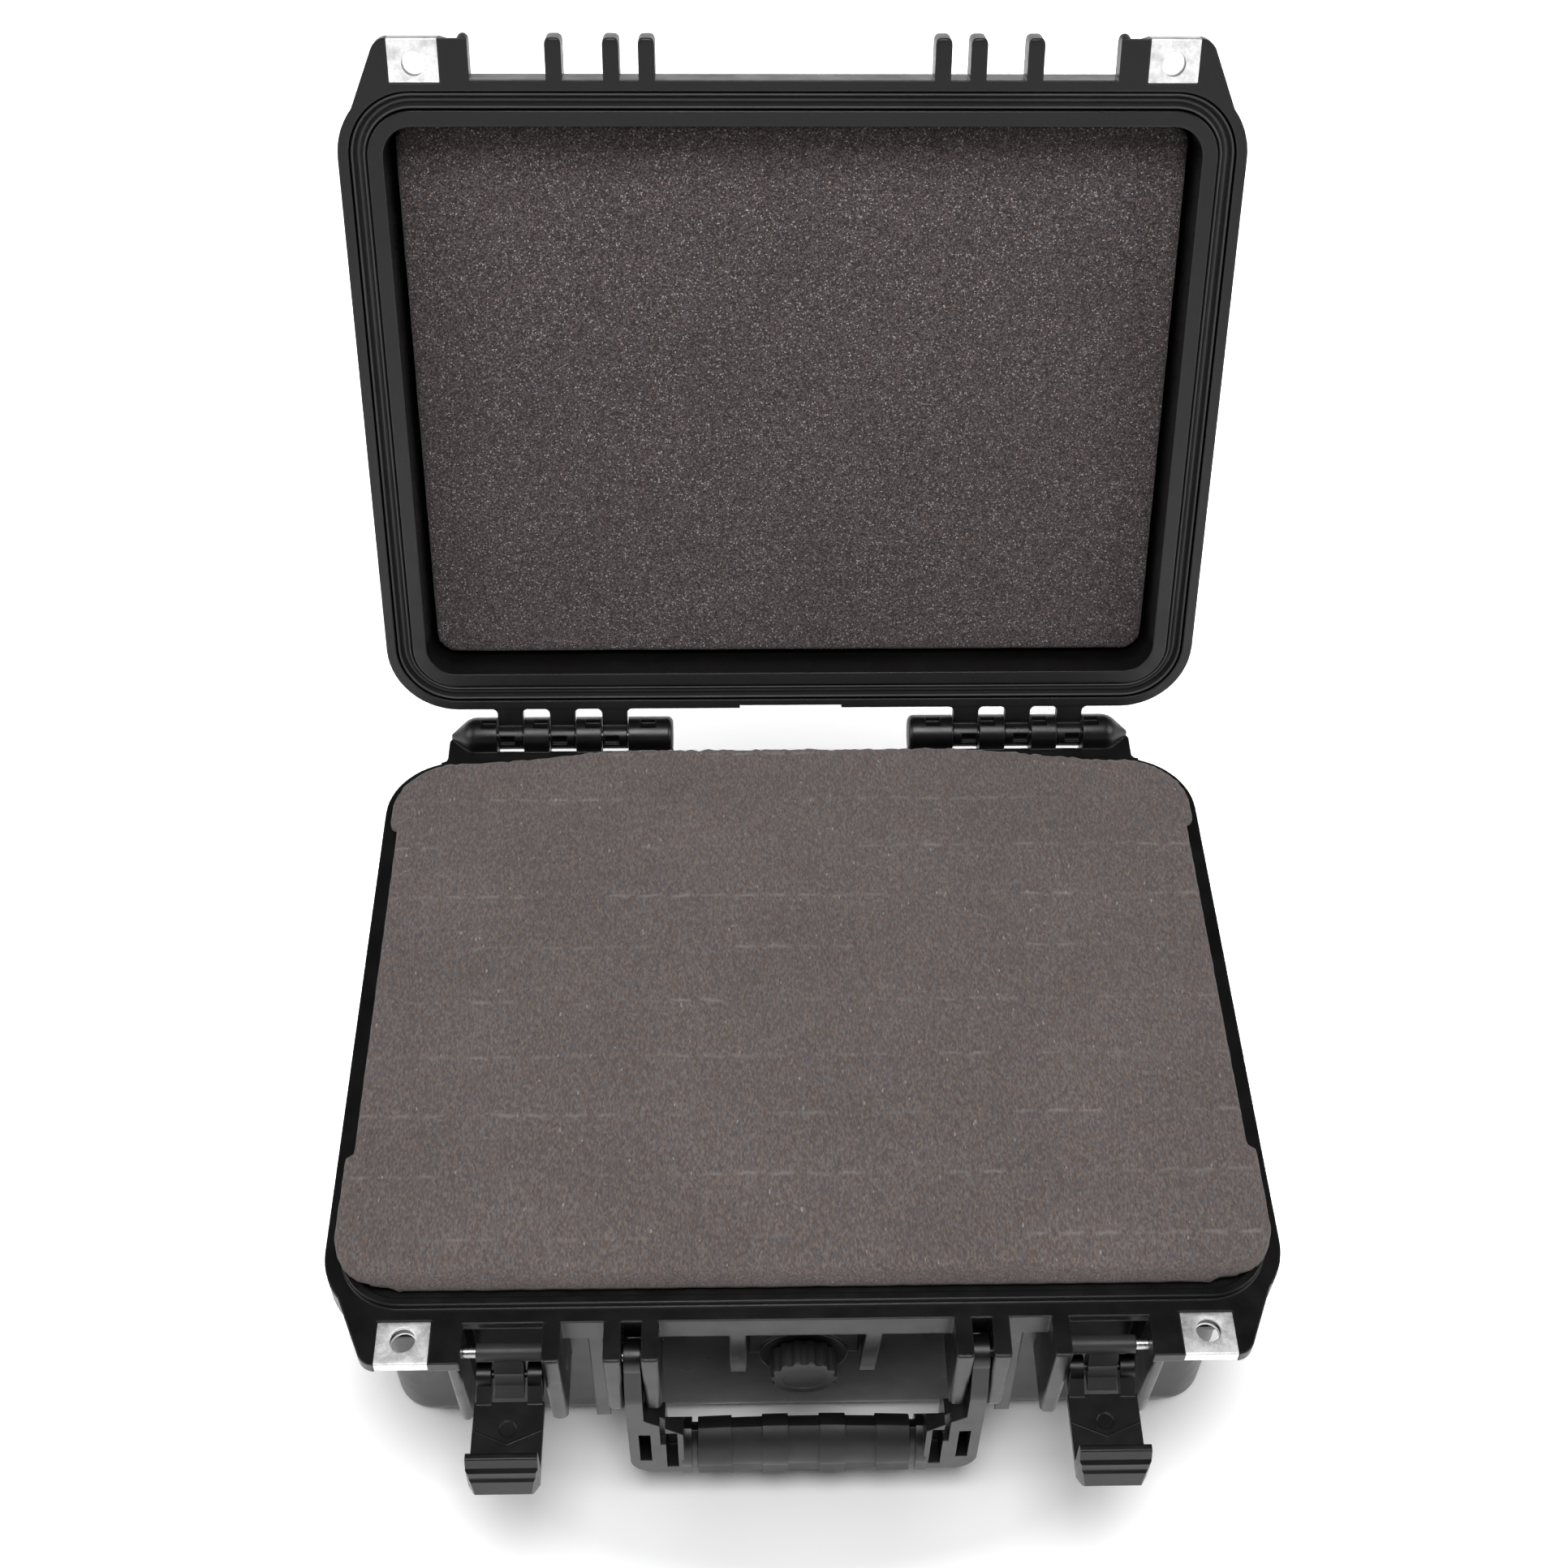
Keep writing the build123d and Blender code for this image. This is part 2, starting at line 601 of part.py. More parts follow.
def make_closed_lid_shell():
    """The lid in its closed position."""
    depth = lid_top_z - lid_rim_z
    shell = hollow_body(wall_inset, depth, bottom_radius, lid_rim_z, True)
    shell += slab(rim_outline(0), lid_rim_z, rim_z + lid_plate)
    shell += rim_ring(0, skirt, rim_z + lid_plate - overlap, rim_z + rim_band)
    shell += both_sides(slab(ear_outline(), lid_rim_z, lid_rim_z + ear_thickness))
    shell += both_sides(lid_front_ribs())
    shell -= block(-back_notch_half, back_notch_half, back_y - back_notch, back_y + overlap,
                   rim_z - overlap, rim_z + rim_band + overlap)
    shell -= hollow_body(mouth_inset, depth - wall, bottom_radius - wall, lid_rim_z, True)
    shell -= rim_ring(channel_inset, channel_inset + channel_width, rim_z,
                      lid_rim_z + channel_depth)
    for x_low, x_high in arm_spans():
        shell += both_sides(lid_arm_shape(x_low, x_high))
    shell -= both_sides(clip_room(lid_rim_z, 1))
    shell -= slab(rim_outline(panel_inset), lid_top_z - panel_depth, lid_top_z + overlap)
    for x in (-stack_x, stack_x):
        for y in (-stack_y, stack_y):
            stud_height = panel_depth + stack_depth / 2
            shell += Pos(x, y, lid_top_z - panel_depth + stud_height / 2) * Cylinder(
                stack_radius, stud_height)
    return shell


def make_closed_gasket():
    """The rubber seal in the lid's channel: two ridges beside the tongue's groove."""
    outer = channel_inset + gasket_side_gap
    inner = channel_inset + channel_width - gasket_side_gap
    groove_outer = tongue_inset - tongue_side_gap
    groove_inner = tongue_inset + tongue_width + tongue_side_gap
    channel_top = lid_rim_z + channel_depth
    seal = rim_ring(outer, inner, lid_rim_z + rim_gap, channel_top)
    seal -= rim_ring(groove_outer, groove_inner, rim_z, channel_top - gasket_sole)
    return seal


# ---------------------------------------------------------------- latch and handle pins
def latch_rod(radius):
    """A bar on the right-hand latch axis, with both ends buried in the ribs."""
    return rod_x(latch_bay_inner - pin_seat, latch_bay_outer + pin_short_seat, latch_y, latch_z,
                 radius)


def handle_rod(radius):
    """A bar on the handle's axis, with both ends buried in the right-hand ribs."""
    return rod_x(handle_slot_inner - pin_seat, handle_slot_outer + pin_seat, handle_y, handle_z,
                 radius)


# ---------------------------------------------------------------- latch
def swung(shape, y, z, degrees_outward):
    """Swing a piece outward about an axis along X."""
    return shape.rotate(Axis((0, y, z), (1, 0, 0)), degrees_outward)


def link_pin_place():
    """Where the link's lower pin is at rest."""
    angle = radians(link_rest_angle)
    return latch_y - link_length * sin(angle), latch_z - link_length * cos(angle)


def make_latch_link():
    """The short link between the base's pin and the lever, with the nose that stops the lever."""
    barrel = rod_x(link_x - link_barrel_width / 2, link_x + link_barrel_width / 2,
                   latch_y, latch_z, link_barrel_radius)
    end_z = latch_z - link_length
    half = link_tongue / 2
    tongue = block(latch_x - half, latch_x + half, latch_y - link_tongue_thickness / 2,
                   latch_y + link_tongue_thickness / 2, end_z, latch_z)
    knuckle = rod_x(latch_x - half, latch_x + half, latch_y, end_z, link_knuckle_radius)
    nose_y = link_nose * sin(radians(link_nose_angle))
    nose_z = link_nose * cos(radians(link_nose_angle))
    nose = side_plate(
        [(latch_y - link_tongue_thickness / 2, end_z + link_knuckle_radius / 2),
         (latch_y - nose_y, end_z - nose_z),
         (latch_y - nose_y + link_nose_blunt, end_z - nose_z - link_nose_blunt),
         (latch_y, end_z - link_knuckle_radius)],
        latch_x - half, latch_x + half)
    link = barrel + tongue + knuckle + nose
    link -= rod_x(0, case_width, latch_y, latch_z, latch_pin_radius + pin_running_gap)
    link -= rod_x(0, case_width, latch_y, end_z, link_pin_radius + pin_press_gap)
    return swung(link, latch_y, latch_z, -link_rest_angle)


def make_link_pin():
    """The pin on which the lever turns."""
    pin_y, pin_z = link_pin_place()
    half = link_tongue / 2 + link_side_gap + lever_ear - edge_round
    return rod_x(latch_x - half, latch_x + half, pin_y, pin_z, link_pin_radius)


def lever_ear_shape(x_low, x_high):
    """One of the lever's ears, upright, running into the plate's outer side."""
    pin_y, pin_z = link_pin_place()
    outer_y = pin_y - lever_face - lever_plate
    ear = rod_x(x_low, x_high, pin_y, pin_z, link_knuckle_radius)
    return ear + side_plate(
        [(outer_y, pin_z + edge_round), (pin_y - link_knuckle_radius / 2, pin_z - link_knuckle_radius * 0.8),
         (pin_y, pin_z + link_knuckle_radius), (pin_y - lever_face, pin_z + lever_window + overlap),
         (outer_y, pin_z + lever_window + overlap)],
        x_low, x_high)


def make_latch_lever():
    """The latch lever: ears on the link pin, plate, hook over the lid's rim and thumb tab."""
    pin_y, pin_z = link_pin_place()
    x_low = latch_x - lever_width / 2
    x_high = latch_x + lever_width / 2
    outer_y = pin_y - lever_face - lever_plate
    hook_z = pin_z + lever_reach
    hook_y = pin_y + hook_depth
    tab_z = hook_z + thumb_tab
    outline = [(outer_y, pin_z + lever_window), (pin_y - lever_face, pin_z + lever_window),
               (pin_y - lever_face, hook_z), (hook_y, hook_z), (hook_y, hook_z + hook_lip)]
    for out, up in hook_back:
        outline.append((hook_y - out, hook_z + up))
    outline.append((outer_y + lever_plate / 2, tab_z))
    outline.append((outer_y, tab_z - thumb_tab_edge))
    small = edge_round / 2
    lever = side_plate(outline, x_low, x_high, [0, 0, edge_round, edge_round, edge_round, 0, small,
                                                0, small, edge_round, small])
    ear_inner = link_tongue / 2 + link_side_gap
    for side in (-1, 1):
        ear_low, ear_high = sorted((latch_x + side * ear_inner, latch_x + side * (ear_inner + lever_ear)))
        lever += lever_ear_shape(ear_low, ear_high)
        corner = latch_x + side * lever_width / 2
        lever -= front_plate(
            [(corner - side * thumb_tab_corner, tab_z), (corner, tab_z - thumb_tab_corner * 1.5),
             (corner + side, tab_z - thumb_tab_corner * 1.5), (corner + side, tab_z + overlap),
             (corner - side * thumb_tab_corner, tab_z + overlap)],
            outer_y - overlap, hook_y + overlap, [0] * 5)
    lever -= rod_x(0, case_width, pin_y, pin_z, link_pin_radius + pin_running_gap)
    lever -= rod_y(pin_y - lever_face - dot_depth, pin_y - lever_face + overlap, latch_x,
                   pin_z + dot_height, dot_radius)
    return swung(lever, pin_y, pin_z, lever_rest_angle)


# ---------------------------------------------------------------- handle
def grip_section(x, shrink, height):
    """The grip's outline at one place along it: flat front, round top and back."""
    front = handle_y - grip_axis_forward - grip_front + shrink
    back = handle_y - grip_axis_forward + grip_back - shrink
    low = handle_bottom_z + shrink
    crease = handle_bottom_z + grip_strip
    top = handle_bottom_z + height - shrink
    middle = (front + back) / 2
    shoulder_front = (front + grip_front_shoulder[0], top - grip_front_shoulder[1])
    shoulder_back = (back - grip_back_shoulder[0], top - grip_back_shoulder[1])
    back_crease = (back, crease + grip_back_rise)
    lines = Polyline((back - grip_heel, low), (front, low), (front, crease))
    lines += ThreePointArc((front, crease), shoulder_front, (middle, top))
    lines += ThreePointArc((middle, top), shoulder_back, back_crease)
    lines += Polyline(back_crease, (back, low + grip_heel), (back - grip_heel, low))
    return Plane.YZ.offset(x) * make_face(lines)


def arched_bar(half, shrink):
    """A bar with the grip's outline, tallest in the middle."""
    sections = [
        grip_section(-half, shrink, grip_height),
        grip_section(0, shrink, grip_height + grip_arch),
        grip_section(half, shrink, grip_height),
    ]
    return loft(sections)


def make_handle_grip():
    """The grip sleeve, with three bands lowered into it."""
    raised = arched_bar(grip_half, 0)
    lowered = arched_bar(grip_half, grip_step)
    inner, middle, outer = grip_band_edges
    for x_low, x_high in ((-outer, -middle), (-inner, inner), (middle, outer)):
        window = block(x_low, x_high, front_y * 2, 0, 0, rim_z)
        band = window & lowered
        raised = (raised - window) + band
    raised -= rod_x(-case_width, case_width, handle_y - grip_axis_forward,
                    handle_bottom_z + grip_height / 2, core_radius)
    return raised


def hand_block(x_low, x_high, flat_depth, top_drop):
    """Part of the thick lower arm: a flat top, then a back that falls away steeply."""
    front = handle_y - handle_front
    back = handle_y + handle_back
    top_z = handle_z - top_drop
    fall = (back - front - flat_depth) * hand_back_slope
    return side_plate(
        [(front, top_z), (front + flat_depth, top_z), (back, top_z - fall),
         (back, handle_bottom_z), (front, handle_bottom_z)],
        x_low, x_high, [0, 0, 0, edge_round, edge_round])


def handle_side():
    """The right-hand arm with its thick lower part and its slots."""
    arm_low = handle_slot_inner + handle_side_gap
    arm_high = handle_slot_outer - handle_side_gap
    front = handle_y - handle_front
    back = handle_y + handle_back
    profile = side_plate(
        [(handle_y - handle_neck, handle_z + handle_neck), (front, handle_z - handle_shoulder_drop),
         (front, handle_bottom_z), (back, handle_bottom_z), (back, handle_z - handle_eye_radius),
         (handle_y + handle_neck, handle_z)],
        arm_low, arm_high, [0, handle_corner_radius, edge_round, edge_round, 0, 0])
    profile += hand_block(hand_rear_inner, arm_low, hand_rear_depth, hand_arm_drop)
    profile += hand_block(hand_block_inner, hand_rear_inner, hand_block_depth, hand_step_drop)
    outline = front_plate(
        [(arm_low, handle_z + handle_eye_radius), (arm_high, handle_z + handle_eye_radius),
         (arm_high, handle_bottom_z), (hand_block_inner, handle_bottom_z),
         (hand_block_inner, handle_z - hand_block_drop),
         (hand_step_inner, handle_z - hand_step_drop), (arm_low, handle_z - hand_arm_drop)],
        front, back, [0, 0, handle_corner_radius, 0, edge_round, hand_step_radius, hand_step_radius])
    side = (outline & profile) + rod_x(arm_low, arm_high, handle_y, handle_z, handle_eye_radius)
    for x, top, length in ((slot_outer_x, slot_outer_drop, slot_outer_length),
                           (slot_inner_x, slot_inner_drop, slot_inner_length)):
        side -= block(x - slot_width / 2, x + slot_width / 2, front - overlap, front + slot_depth,
                      handle_z - top - length, handle_z - top)
    side -= block(hand_rear_inner, hand_rear_inner + hand_groove_width, front - overlap,
                  front + hand_block_depth, handle_z - hand_groove_end, rim_z)
    return side - rod_x(0, case_width, handle_y, handle_z, handle_pin_radius + pin_running_gap)


def make_handle_frame():
    """Both arms, their collars and the bar that runs through the grip."""
    collar_low = grip_half + grip_gap
    collar = extrude(grip_section(collar_low, 0, grip_height), hand_block_inner + overlap - collar_low)
    neck = extrude(grip_section(grip_half, neck_inset, grip_height), grip_gap + overlap)
    core = rod_x(-grip_half - overlap, grip_half + overlap, handle_y - grip_axis_forward,
                 handle_bottom_z + grip_height / 2, core_radius)
    return both_sides(handle_side() + collar + neck) + core


# ---------------------------------------------------------------- pressure valve
def make_valve_body():
    """The valve's threaded stem, its outside flange and the hub the knob turns on."""
    stem_end = valve_wall_y + wall + nut_thickness + overlap
    body = rod_y(boss_y - valve_flange, boss_y, 0, valve_z, valve_flange_radius)
    body += rod_y(boss_y - valve_flange, stem_end, 0, valve_z, valve_stem_radius)
    body += rod_y(boss_y - hub_length, boss_y, 0, valve_z, hub_radius)
    body -= rod_y(boss_y - hub_length - overlap, stem_end + overlap, 0, valve_z, valve_bore_radius)
    body -= make_valve_seal_ring()
    return body


def make_valve_seal_ring():
    """The rubber ring between the valve's flange and the boss, sunk in the flange."""
    ring = rod_y(boss_y - seal_depth, boss_y, 0, valve_z, seal_outer_radius)
    return ring - rod_y(boss_y - seal_depth - overlap, boss_y + overlap, 0, valve_z,
                        seal_inner_radius)


def make_valve_nut():
    """The hexagon nut inside the wall."""
    inner_face = valve_wall_y + wall
    outline = RegularPolygon(nut_across / 2, 6, major_radius=False)
    nut = extrude(outline, nut_thickness)
    nut = Pos(0, inner_face + nut_thickness, valve_z) * Rot(90, 0, 0) * nut
    nut -= rod_y(inner_face - overlap, inner_face + nut_thickness + overlap, 0, valve_z,
                 valve_stem_radius + pin_press_gap)
    return nut


def make_valve_membrane():
    """The breathing disc at the inner end of the stem."""
    stem_end = valve_wall_y + wall + nut_thickness + overlap
    return rod_y(stem_end, stem_end + membrane_thickness, 0, valve_z, valve_stem_radius)


def make_valve_knob():
    """The scalloped knob that opens the valve."""
    back = boss_y - knob_wall_gap
    front = back - knob_length
    knob = rod_y(front, back, 0, valve_z, knob_radius)
    knob = fillet(knob.edges().filter_by(GeomType.CIRCLE).sort_by(Axis.Y)[0], edge_round)
    for number in range(knob_scallops):
        angle = radians(360.0 * (number + 0.5) / knob_scallops)
        reach = knob_radius + knob_scallop_out
        knob -= rod_y(front - overlap, back + overlap, reach * cos(angle),
                      valve_z + reach * sin(angle), knob_scallop_radius)
    knob -= rod_y(front - overlap, front + knob_face_step, 0, valve_z, knob_face_ring)
    cavity_back = boss_y - valve_flange - knob_wall_gap
    knob -= rod_y(cavity_back, back + overlap, 0, valve_z, valve_flange_radius + knob_wall_gap)
    knob -= rod_y(boss_y - hub_length - knob_wall_gap, back, 0, valve_z,
                  hub_radius + pin_running_gap)
    return knob


# ---------------------------------------------------------------- foam
def base_foam_stack():
    """All the foam inside the base's cavity."""
    return hollow_body(mouth_inset + foam_gap, base_height - wall, bottom_radius - wall, rim_z, False)


def make_base_foam_layers():
    """The bottom pad, the lower block and the proud top block."""
    stack = base_foam_stack()
    pad_top = wall + bottom_pad
    joint = rim_z - lower_foam_top
    everywhere = case_width
    pad = stack & block(-everywhere, everywhere, -everywhere, everywhere, 0, pad_top)
    lower = stack & block(-everywhere, everywhere, -everywhere, everywhere, pad_top, joint)
    pocket = nut_across / 2 / cos(radians(30)) + nut_pocket
    lower -= block(-pocket, pocket, front_y, valve_wall_y + wall * 2 + nut_thickness + nut_pocket * 2,
                   valve_z - pocket, min(valve_z + pocket, joint))
    top = stack & block(-everywhere, everywhere, -everywhere, everywhere, joint, rim_z)
    lip_low = rim_z + foam_lip_under
    lip_width = case_width - 2 * foam_side_lap
    lip_front = front_y + foam_front_lap
    lip_back = back_y - foam_back_lap
    lip_outline = Pos(0, (lip_front + lip_back) / 2) * RectangleRounded(
        lip_width, lip_back - lip_front, corner_radius - foam_side_lap)
    neck = slab(rim_outline(mouth_inset + foam_gap), rim_z, lip_low)
    apron_half = side_x - corner_radius
    apron = block(-apron_half, apron_half, lip_front, front_y + mouth_inset + overlap,
                  rim_z + foam_gap, lip_low)
    top += neck + apron + slab(lip_outline, lip_low, rim_z + foam_proud)
    return pad, lower, top


def make_closed_lid_foam():
    """The lid's foam pad, glued to the inside of its top."""
    depth = lid_top_z - wall - lid_rim_z
    inset = mouth_inset + lid_foam_gap
    outline = RectangleRounded(case_width - 2 * inset, case_depth - 2 * inset, lid_foam_corner)
    pad = extrude(Pos(0, 0, lid_rim_z) * outline, depth, taper=draft)
    pad = fillet(pad.faces().sort_by(Axis.Z)[-1].edges(), lid_foam_edge)
    return pad & block(-case_width, case_width, -case_width, case_width,
                       lid_rim_z + lid_foam_depth, lid_top_z)


# ---------------------------------------------------------------- write the parts
def write(name, shape):
    """Write one node."""
    shape.label = name
    export_step(shape, "parts/" + name + ".step")


def write_pair(name, right):
    """Write a right-hand piece and its left-hand mirror image."""
    write(name + "_right", right)
    write(name + "_left", left_of(right))


os.makedirs("parts", exist_ok=True)
write("base_shell", make_base_shell())
write("lid_shell", turned_open(make_closed_lid_shell()))
write("lid_gasket", turned_open(make_closed_gasket()))
write_pair("hinge_pin", hinge_rod(hinge_pin_radius))
write_pair("base_padlock_clip", clip_shape(rim_z, -1))
write_pair("lid_padlock_clip", turned_open(clip_shape(lid_rim_z, 1)))
write_pair("latch_pin", latch_rod(latch_pin_radius))
write_pair("latch_link", make_latch_link())
write_pair("latch_link_pin", make_link_pin())
write_pair("latch_lever", make_latch_lever())
write_pair("handle_pin", handle_rod(handle_pin_radius))
write("handle_frame", make_handle_frame())
write("handle_grip", make_handle_grip())
write("valve_body", make_valve_body())
write("valve_seal_ring", make_valve_seal_ring())
write("valve_nut", make_valve_nut())
write("valve_membrane", make_valve_membrane())
write("valve_knob", make_valve_knob())
foam_pad, foam_lower, foam_top = make_base_foam_layers()
write("base_foam_pad", foam_pad)
write("base_foam_lower", foam_lower)
write("base_foam_top", foam_top)
write("lid_foam", turned_open(make_closed_lid_foam()))
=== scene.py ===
# %% [markdown]
# # A hard carry case, standing open
# The case is two moulded plastic shells on a steel hinge. Its hard parts come from the CAD
# model with their true sizes, so Blender adds what CAD can't show: foam that looks cut and
# springy, a ribbed seal, rounded noses and lips, moulding marks, and surfaces that answer
# light as the real ones do. Sizes on the case are written in millimetres and multiplied by MM,
# because Blender works in metres. The studio around it is in metres.

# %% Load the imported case
import math

import bmesh
import bpy
from mathutils import Matrix, Vector, noise


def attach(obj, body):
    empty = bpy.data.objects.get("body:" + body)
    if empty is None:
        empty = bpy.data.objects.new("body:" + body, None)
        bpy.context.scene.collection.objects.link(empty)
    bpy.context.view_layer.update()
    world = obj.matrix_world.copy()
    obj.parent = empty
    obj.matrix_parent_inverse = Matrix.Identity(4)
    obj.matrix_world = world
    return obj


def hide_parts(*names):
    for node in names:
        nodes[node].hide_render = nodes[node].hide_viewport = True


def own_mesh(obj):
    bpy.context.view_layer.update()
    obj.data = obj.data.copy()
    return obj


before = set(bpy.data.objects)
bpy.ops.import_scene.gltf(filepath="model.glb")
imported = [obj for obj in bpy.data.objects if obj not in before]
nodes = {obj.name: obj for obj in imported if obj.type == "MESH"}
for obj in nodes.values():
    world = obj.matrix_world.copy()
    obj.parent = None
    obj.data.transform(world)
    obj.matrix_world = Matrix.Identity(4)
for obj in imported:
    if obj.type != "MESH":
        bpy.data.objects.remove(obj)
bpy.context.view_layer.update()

MM = 0.001

# %% [markdown]
# ## The camera
# It looks down on the open case from in front, as someone does who has just lifted the lid.
# A camera can be aimed with a Track To constraint, but three plain angles say more: how far it
# looks down, how far it is turned aside, and how far it leans.

# %% Camera
camera_place = Vector((-0.02204, -0.47125, 0.77796))
look_down = math.radians(48.71)
look_aside = math.radians(2.002)
camera_lean = math.radians(1.121)

forward = Vector((math.sin(look_aside) * math.cos(look_down),
                  math.cos(look_aside) * math.cos(look_down),
                  -math.sin(look_down)))
level_right = Vector((math.cos(look_aside), -math.sin(look_aside), 0.0))
level_up = level_right.cross(forward)
camera_right = math.cos(camera_lean) * level_right + math.sin(camera_lean) * level_up
camera_up = -math.sin(camera_lean) * level_right + math.cos(camera_lean) * level_up

camera_data = bpy.data.cameras.new("camera")
camera_data.lens = 48.44
camera_data.sensor_width = 36.0
camera_data.shift_x = -0.0027
camera_data.shift_y = -0.0023
camera = bpy.data.objects.new("camera", camera_data)
camera_turn = Matrix((camera_right, camera_up, -forward)).transposed().to_4x4()
camera.matrix_world = Matrix.Translation(camera_place) @ camera_turn
bpy.context.scene.collection.objects.link(camera)
bpy.context.scene.camera = camera
print("camera at", [round(value, 3) for value in camera_place])

# %% [markdown]
# ## Small helpers
# Colours are picked on a screen as sRGB hex values, while shaders work in linear light, so one
# function turns one into the other. One more adds any shader node with its settings, its fixed
# values and its links, so that a material reads as a list of what it is made of. The soft rise
# between two values is for shapes.

# %% Colour and node helpers
def linear(hex_colour):
    """A screen colour such as #202020 as linear light, with alpha."""
    channels = [int(hex_colour[start:start + 2], 16) / 255 for start in (1, 3, 5)]
    light = [value / 12.92 if value <= 0.04045 else ((value + 0.055) / 1.055) ** 2.4
             for value in channels]
    return (*light, 1.0)


def add(tree, kind, inputs=None, **settings):
    """Add a shader node: settings are its properties, inputs its values or links by socket."""
    made = tree.nodes.new("ShaderNode" + kind)
    for name, value in settings.items():
        setattr(made, name, value)
    for socket, value in (inputs or {}).items():
        if isinstance(value, bpy.types.NodeSocket):
            tree.links.new(value, made.inputs[socket])
        else:
            made.inputs[socket].default_value = value
    return made


def per_metre(size_mm):
    """The texture scale at which one feature is this many millimetres wide."""
    return 1.0 / (size_mm * MM)


def new_material(name):
    """An empty material with a Principled shader: its tree, its shader and its coordinates."""
    material = bpy.data.materials.new(name)
    material.use_nodes = True
    tree = material.node_tree
    tree.nodes.clear()
    shader = add(tree, "BsdfPrincipled")
    add(tree, "OutputMaterial", {"Surface": shader.outputs["BSDF"]})
    place = add(tree, "TexCoord").outputs["Object"]
    return material, tree, shader, place


def ramp(tree, factor, stops):
    """A colour ramp with (position, hex colour) stops."""
    made = add(tree, "ValToRGB", {"Fac": factor})
    elements = made.color_ramp.elements
    while len(elements) < len(stops):
        elements.new(0.5)
    for element, (position, colour) in zip(elements, stops):
        element.position = position
        element.color = linear(colour)
    return made.outputs["Color"]


def smooth_step(low, high, value):
    """0 below low, 1 above high, and a soft rise between."""
    share = min(max((value - low) / (high - low), 0.0), 1.0)
    return share * share * (3.0 - 2.0 * share)


def show(name, mesh):
    """Put a mesh in the scene as a piece."""
    piece = bpy.data.objects.new(name, mesh)
    bpy.context.scene.collection.objects.link(piece)
    return piece


print("black plastic is", [round(value, 4) for value in linear("#232323")])

# %% [markdown]
# ## The floor
# A sheet of matt white board, which a studio lights until it burns out to plain white. Here
# Light Path does that: to the camera and in reflections the board's colour rises beyond white
# with the distance from the middle of the case's front, so the shadow close to the case is
# kept. The light that it throws back on the case stays that of a pale board.

# %% Floor
floor_half = 1.3
floor_form = bmesh.new()
bmesh.ops.create_grid(floor_form, x_segments=1, y_segments=1, size=floor_half)
floor_mesh = bpy.data.meshes.new("floor")
floor_form.to_mesh(floor_mesh)
floor_form.free()
floor = show("floor", floor_mesh)

front_middle = (0.0, -0.13, 0.0)
sideways_share = 0.4           # distance sideways counts less, because the case is wide
board_white = 0.73

floor_paint, tree, shader, place = new_material("white_studio_floor")
rays = add(tree, "LightPath")
seen = add(tree, "Math", {0: rays.outputs["Is Glossy Ray"], 1: rays.outputs["Is Transmission Ray"]},
           operation="MAXIMUM")
narrowed = add(tree, "VectorMath", {0: place, 1: (sideways_share, 1.0, 1.0)}, operation="MULTIPLY")
from_case = add(tree, "VectorMath", {0: narrowed.outputs["Vector"], 1: front_middle},
                operation="DISTANCE")
mirrored = add(tree, "MapRange", {"Value": from_case.outputs["Value"], "From Min": 0.08,
                                  "From Max": 0.5, "To Min": 1.5, "To Max": 2.2})
looked_at = add(tree, "MapRange", {"Value": from_case.outputs["Value"], "From Min": 0.045,
                                   "From Max": 0.15, "To Min": 1.0, "To Max": 3.4})
floor_tone = add(tree, "Mix", {0: seen.outputs[0], 2: board_white, 3: mirrored.outputs["Result"]})
floor_tone = add(tree, "Mix", {0: rays.outputs["Is Camera Ray"], 2: floor_tone.outputs[0],
                               3: looked_at.outputs["Result"]})
tree.links.new(floor_tone.outputs[0], shader.inputs["Base Color"])
shader.inputs["Roughness"].default_value = 1.0
shader.inputs["Specular IOR Level"].default_value = 0.0
floor_mesh.materials.append(floor_paint)
print("floor", [round(value, 2) for value in floor.dimensions])

# %% [markdown]
# ## The light
# A softbox on each side and one overhead, a little in front, as in a plain product studio. The
# room around glows most near the horizon and its ceiling is dim, so level black surfaces stay
# black while upright ones pick up something pale. Reflections see a brighter horizon than matt
# surfaces do, and to the camera the room is plain white.

# %% World and softboxes
world = bpy.data.worlds.new("studio")
world.use_nodes = True
tree = world.node_tree
tree.nodes.clear()
rays = add(tree, "LightPath")
direction = add(tree, "TexCoord").outputs["Generated"]
heights = add(tree, "SeparateXYZ", {"Vector": direction})
glow = add(tree, "MapRange", {"Value": heights.outputs["Z"], "From Min": 0.05,
                              "From Max": 0.5, "To Min": 0.5, "To Max": 0.05})
backdrop = add(tree, "MapRange", {"Value": heights.outputs["Z"], "From Min": 0.05,
                                  "From Max": 0.4, "To Min": 1.05, "To Max": 0.05})
strength = add(tree, "Mix", {0: rays.outputs["Is Glossy Ray"], 2: glow.outputs["Result"],
                             3: backdrop.outputs["Result"]})
strength = add(tree, "Mix", {0: rays.outputs["Is Camera Ray"], 2: strength.outputs[0], 3: 1.0})
sky = add(tree, "Background", {"Color": linear("#ffffff"), "Strength": strength.outputs[0]})
add(tree, "OutputWorld", {"Surface": sky.outputs["Background"]})
bpy.context.scene.world = world


def softbox(name, place, aim, size, power):
    """A square area lamp that points at a place."""
    lamp = bpy.data.lights.new(name, "AREA")
    lamp.size = size
    lamp.energy = power
    made = bpy.data.objects.new(name, lamp)
    direction = Vector(aim) - Vector(place)
    turn = direction.to_track_quat("-Z", "Y").to_matrix().to_4x4()
    made.matrix_world = Matrix.Translation(place) @ turn
    bpy.context.scene.collection.objects.link(made)


